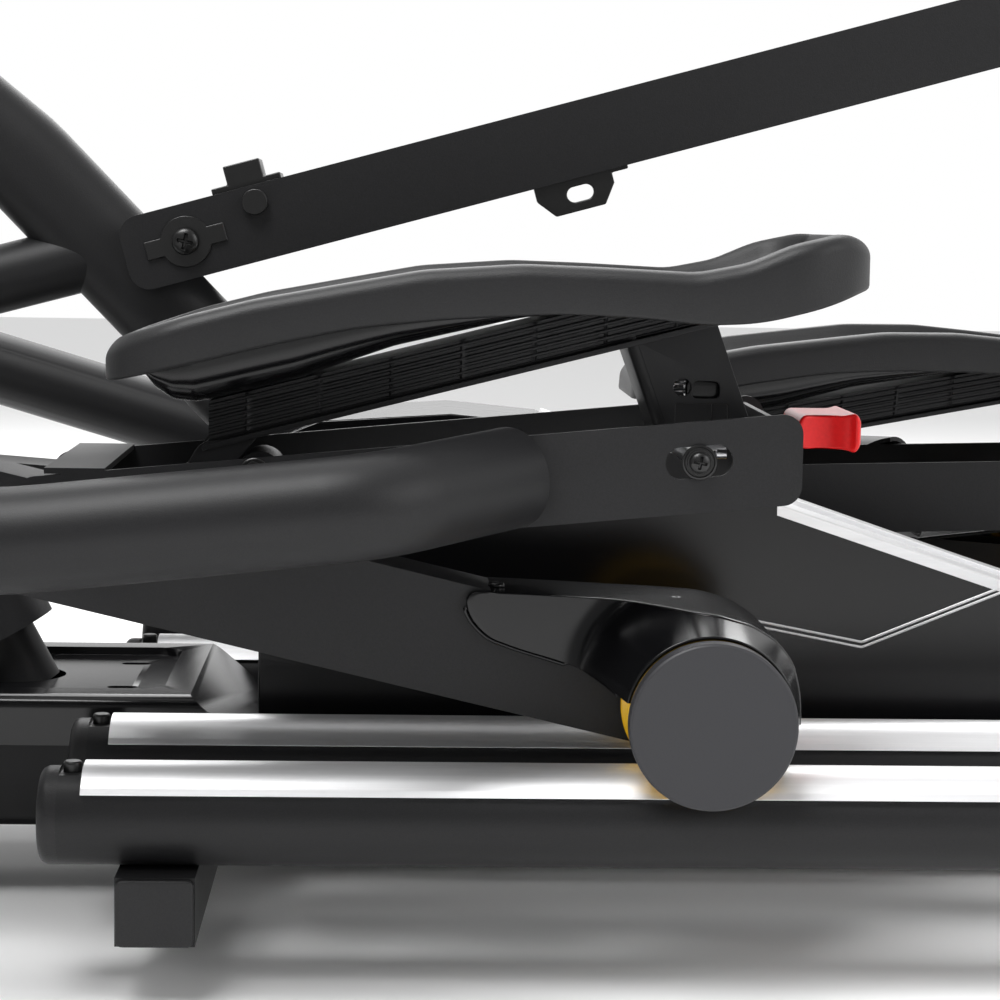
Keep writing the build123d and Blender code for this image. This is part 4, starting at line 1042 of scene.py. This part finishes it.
def ribbonMesh(name):
    """A thin folded strip over the back edge of the housing: a flat top with short flanks, carried down
    the slope."""
    route = np.array(((0.428, 0.2296), (0.55, 0.1895), (0.79, 0.1125)))
    x = np.linspace(0.428, 0.79, 60)[:, None]
    z = np.interp(x[:, 0], route[:, 0], route[:, 1])[:, None]
    ringY = np.array((-0.0606, -0.0612, -0.0606, 0.0606, 0.0612, 0.0606, 0.0596, -0.0596))
    ringZ = np.array((-0.006, 0.0002, 0.0009, 0.0009, 0.0002, -0.006, -0.006, -0.006))
    points = np.stack([x + 0 * ringY, ringY[None, :] + 0 * x, z + ringZ[None, :]], -1)
    return gridMesh(name, points, closeV=True, capU=True)


addPiece("housingRibbon", ribbonMesh("housingRibbon"), "frame", "bright_strip")

# ---- saddle ----
seatLow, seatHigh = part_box("saddle")
seat = {
    "halfWidths": ((-1, 0.026), (-0.3, 0.036), (0.2, 0.078), (0.62, 0.108), (1, 0.1)),
    "groove": 0.006,
    "grooveWidth": 0.016,
}


def saddleMesh(name):
    """Rings of a pear-shaped plan, narrow in front and wide behind; the pad's height is a superellipse
    dome with a shallow groove along its middle."""
    a = np.linspace(0, 2 * np.pi, 160, endpoint=False)
    midX, halfLength = (seatLow.x + seatHigh.x) / 2, (seatHigh.x - seatLow.x) / 2
    along = np.cos(a)
    widthAt = smoothCurve(seat["halfWidths"], 0.5)
    levels = [(t, 1) for t in np.linspace(0.02, 0.8, 16)] + [
        (0.8 + 0.2 * math.sin(t), math.cos(t)) for t in np.linspace(0.1, math.pi / 2, 14)
    ]
    levels += [
        (1.0, -0.3),
        (0.985, -0.34),
        (0.985, -0.4),
        (1.0, -0.45),
        (0.98, -0.8),
        (0.9, -1.0),
        (0.5, -1.0),
        (0.02, -1.0),
    ]
    rings = []
    for share, level in levels:
        x = midX + halfLength * share * np.sign(along) * abs(along) ** 0.85
        y = widthAt(along) * share * np.sign(np.sin(a)) * abs(np.sin(a)) ** 0.75
        groove = seat["groove"] * np.exp(-((y / seat["grooveWidth"]) ** 2)) * max(level, 0)
        z = seatLow.z + (seatHigh.z - seatLow.z) * (0.5 + 0.5 * level) - groove
        rings.append(np.stack([x, y, z], -1))
    return gridMesh(name, np.array(rings), closeV=True, capU=True)


saddle = addPiece("saddlePad", saddleMesh("saddlePad"), "seat", "saddle_vinyl", replaces=("saddle",))
softEdges(saddle, 60)

# ---- camera, floor and light ----
camera = bpy.data.objects.new("camera", bpy.data.cameras.new("camera"))
bpy.context.scene.collection.objects.link(camera)
view = {"lens": 95.5, "place": (0.205, -1.6, 0.39), "pitch": -5.9, "yaw": -2.24, "roll": 0.9}
camera.data.lens = view["lens"]
camera.data.sensor_width = 36
camera.data.clip_start = 0.05
camera.location = view["place"]
turn = Matrix.Rotation(math.radians(view["yaw"]), 3, "Z") @ Matrix.Rotation(
    math.radians(90 + view["pitch"]), 3, "X"
)
camera.rotation_euler = (turn @ Matrix.Rotation(math.radians(view["roll"]), 3, "Z")).to_euler()
bpy.context.scene.camera = camera

floorMesh = gridMesh(
    "floor", np.array([[(-9, -9, -0.0005), (-9, 9, -0.0005)], [(9, -9, -0.0005), (9, 9, -0.0005)]], float)
)
floor = bpy.data.objects.new("floor", floorMesh)
bpy.context.scene.collection.objects.link(floor)
floorPaint = bpy.data.materials.new("paleFloor")
floorPaint.use_nodes = True
floorPaint.node_tree.nodes["Principled BSDF"].inputs["Base Color"].default_value = (0.94, 0.94, 0.94, 1)
floorPaint.node_tree.nodes["Principled BSDF"].inputs["Roughness"].default_value = 0.75
floorMesh.materials.append(floorPaint)

world = bpy.data.worlds.new("studio")
bpy.context.scene.world = world
world.use_nodes = True
backdrop = world.node_tree.nodes["Background"]
backdrop.inputs["Color"].default_value = (1, 1, 1, 1)
direction = world.node_tree.nodes.new("ShaderNodeTexCoord")
split = world.node_tree.nodes.new("ShaderNodeSeparateXYZ")
fade = world.node_tree.nodes.new("ShaderNodeMapRange")
fade.interpolation_type = "SMOOTHSTEP"
for label, value in (("From Min", -0.55), ("From Max", 0.35), ("To Min", 0.3), ("To Max", 1.0)):
    fade.inputs[label].default_value = value
world.node_tree.links.new(direction.outputs["Generated"], split.inputs["Vector"])
world.node_tree.links.new(split.outputs["Y"], fade.inputs["Value"])
world.node_tree.links.new(fade.outputs["Result"], backdrop.inputs["Strength"])
lamps = (
    ("keyLight", (-0.5, -1.1, 2.5), (0.25, -0.1, 0.3), 1.3, 70),
    ("fillLight", (2.4, -1.6, 1.4), (0.25, 0, 0.3), 1.6, 25),
    ("rimLight", (0.4, 2.2, 2.2), (0.2, 0, 0.3), 2.4, 60),
)
for name, place, aim, size, power in lamps:
    lamp = bpy.data.objects.new(name, bpy.data.lights.new(name, "AREA"))
    lamp.data.size = size
    lamp.data.energy = power
    lamp.location = place
    lamp.rotation_euler = (Vector(aim) - Vector(place)).to_track_quat("-Z", "Y").to_euler()
    bpy.context.scene.collection.objects.link(lamp)
bpy.context.scene.view_settings.view_transform = "Standard"
print("camera and light set")
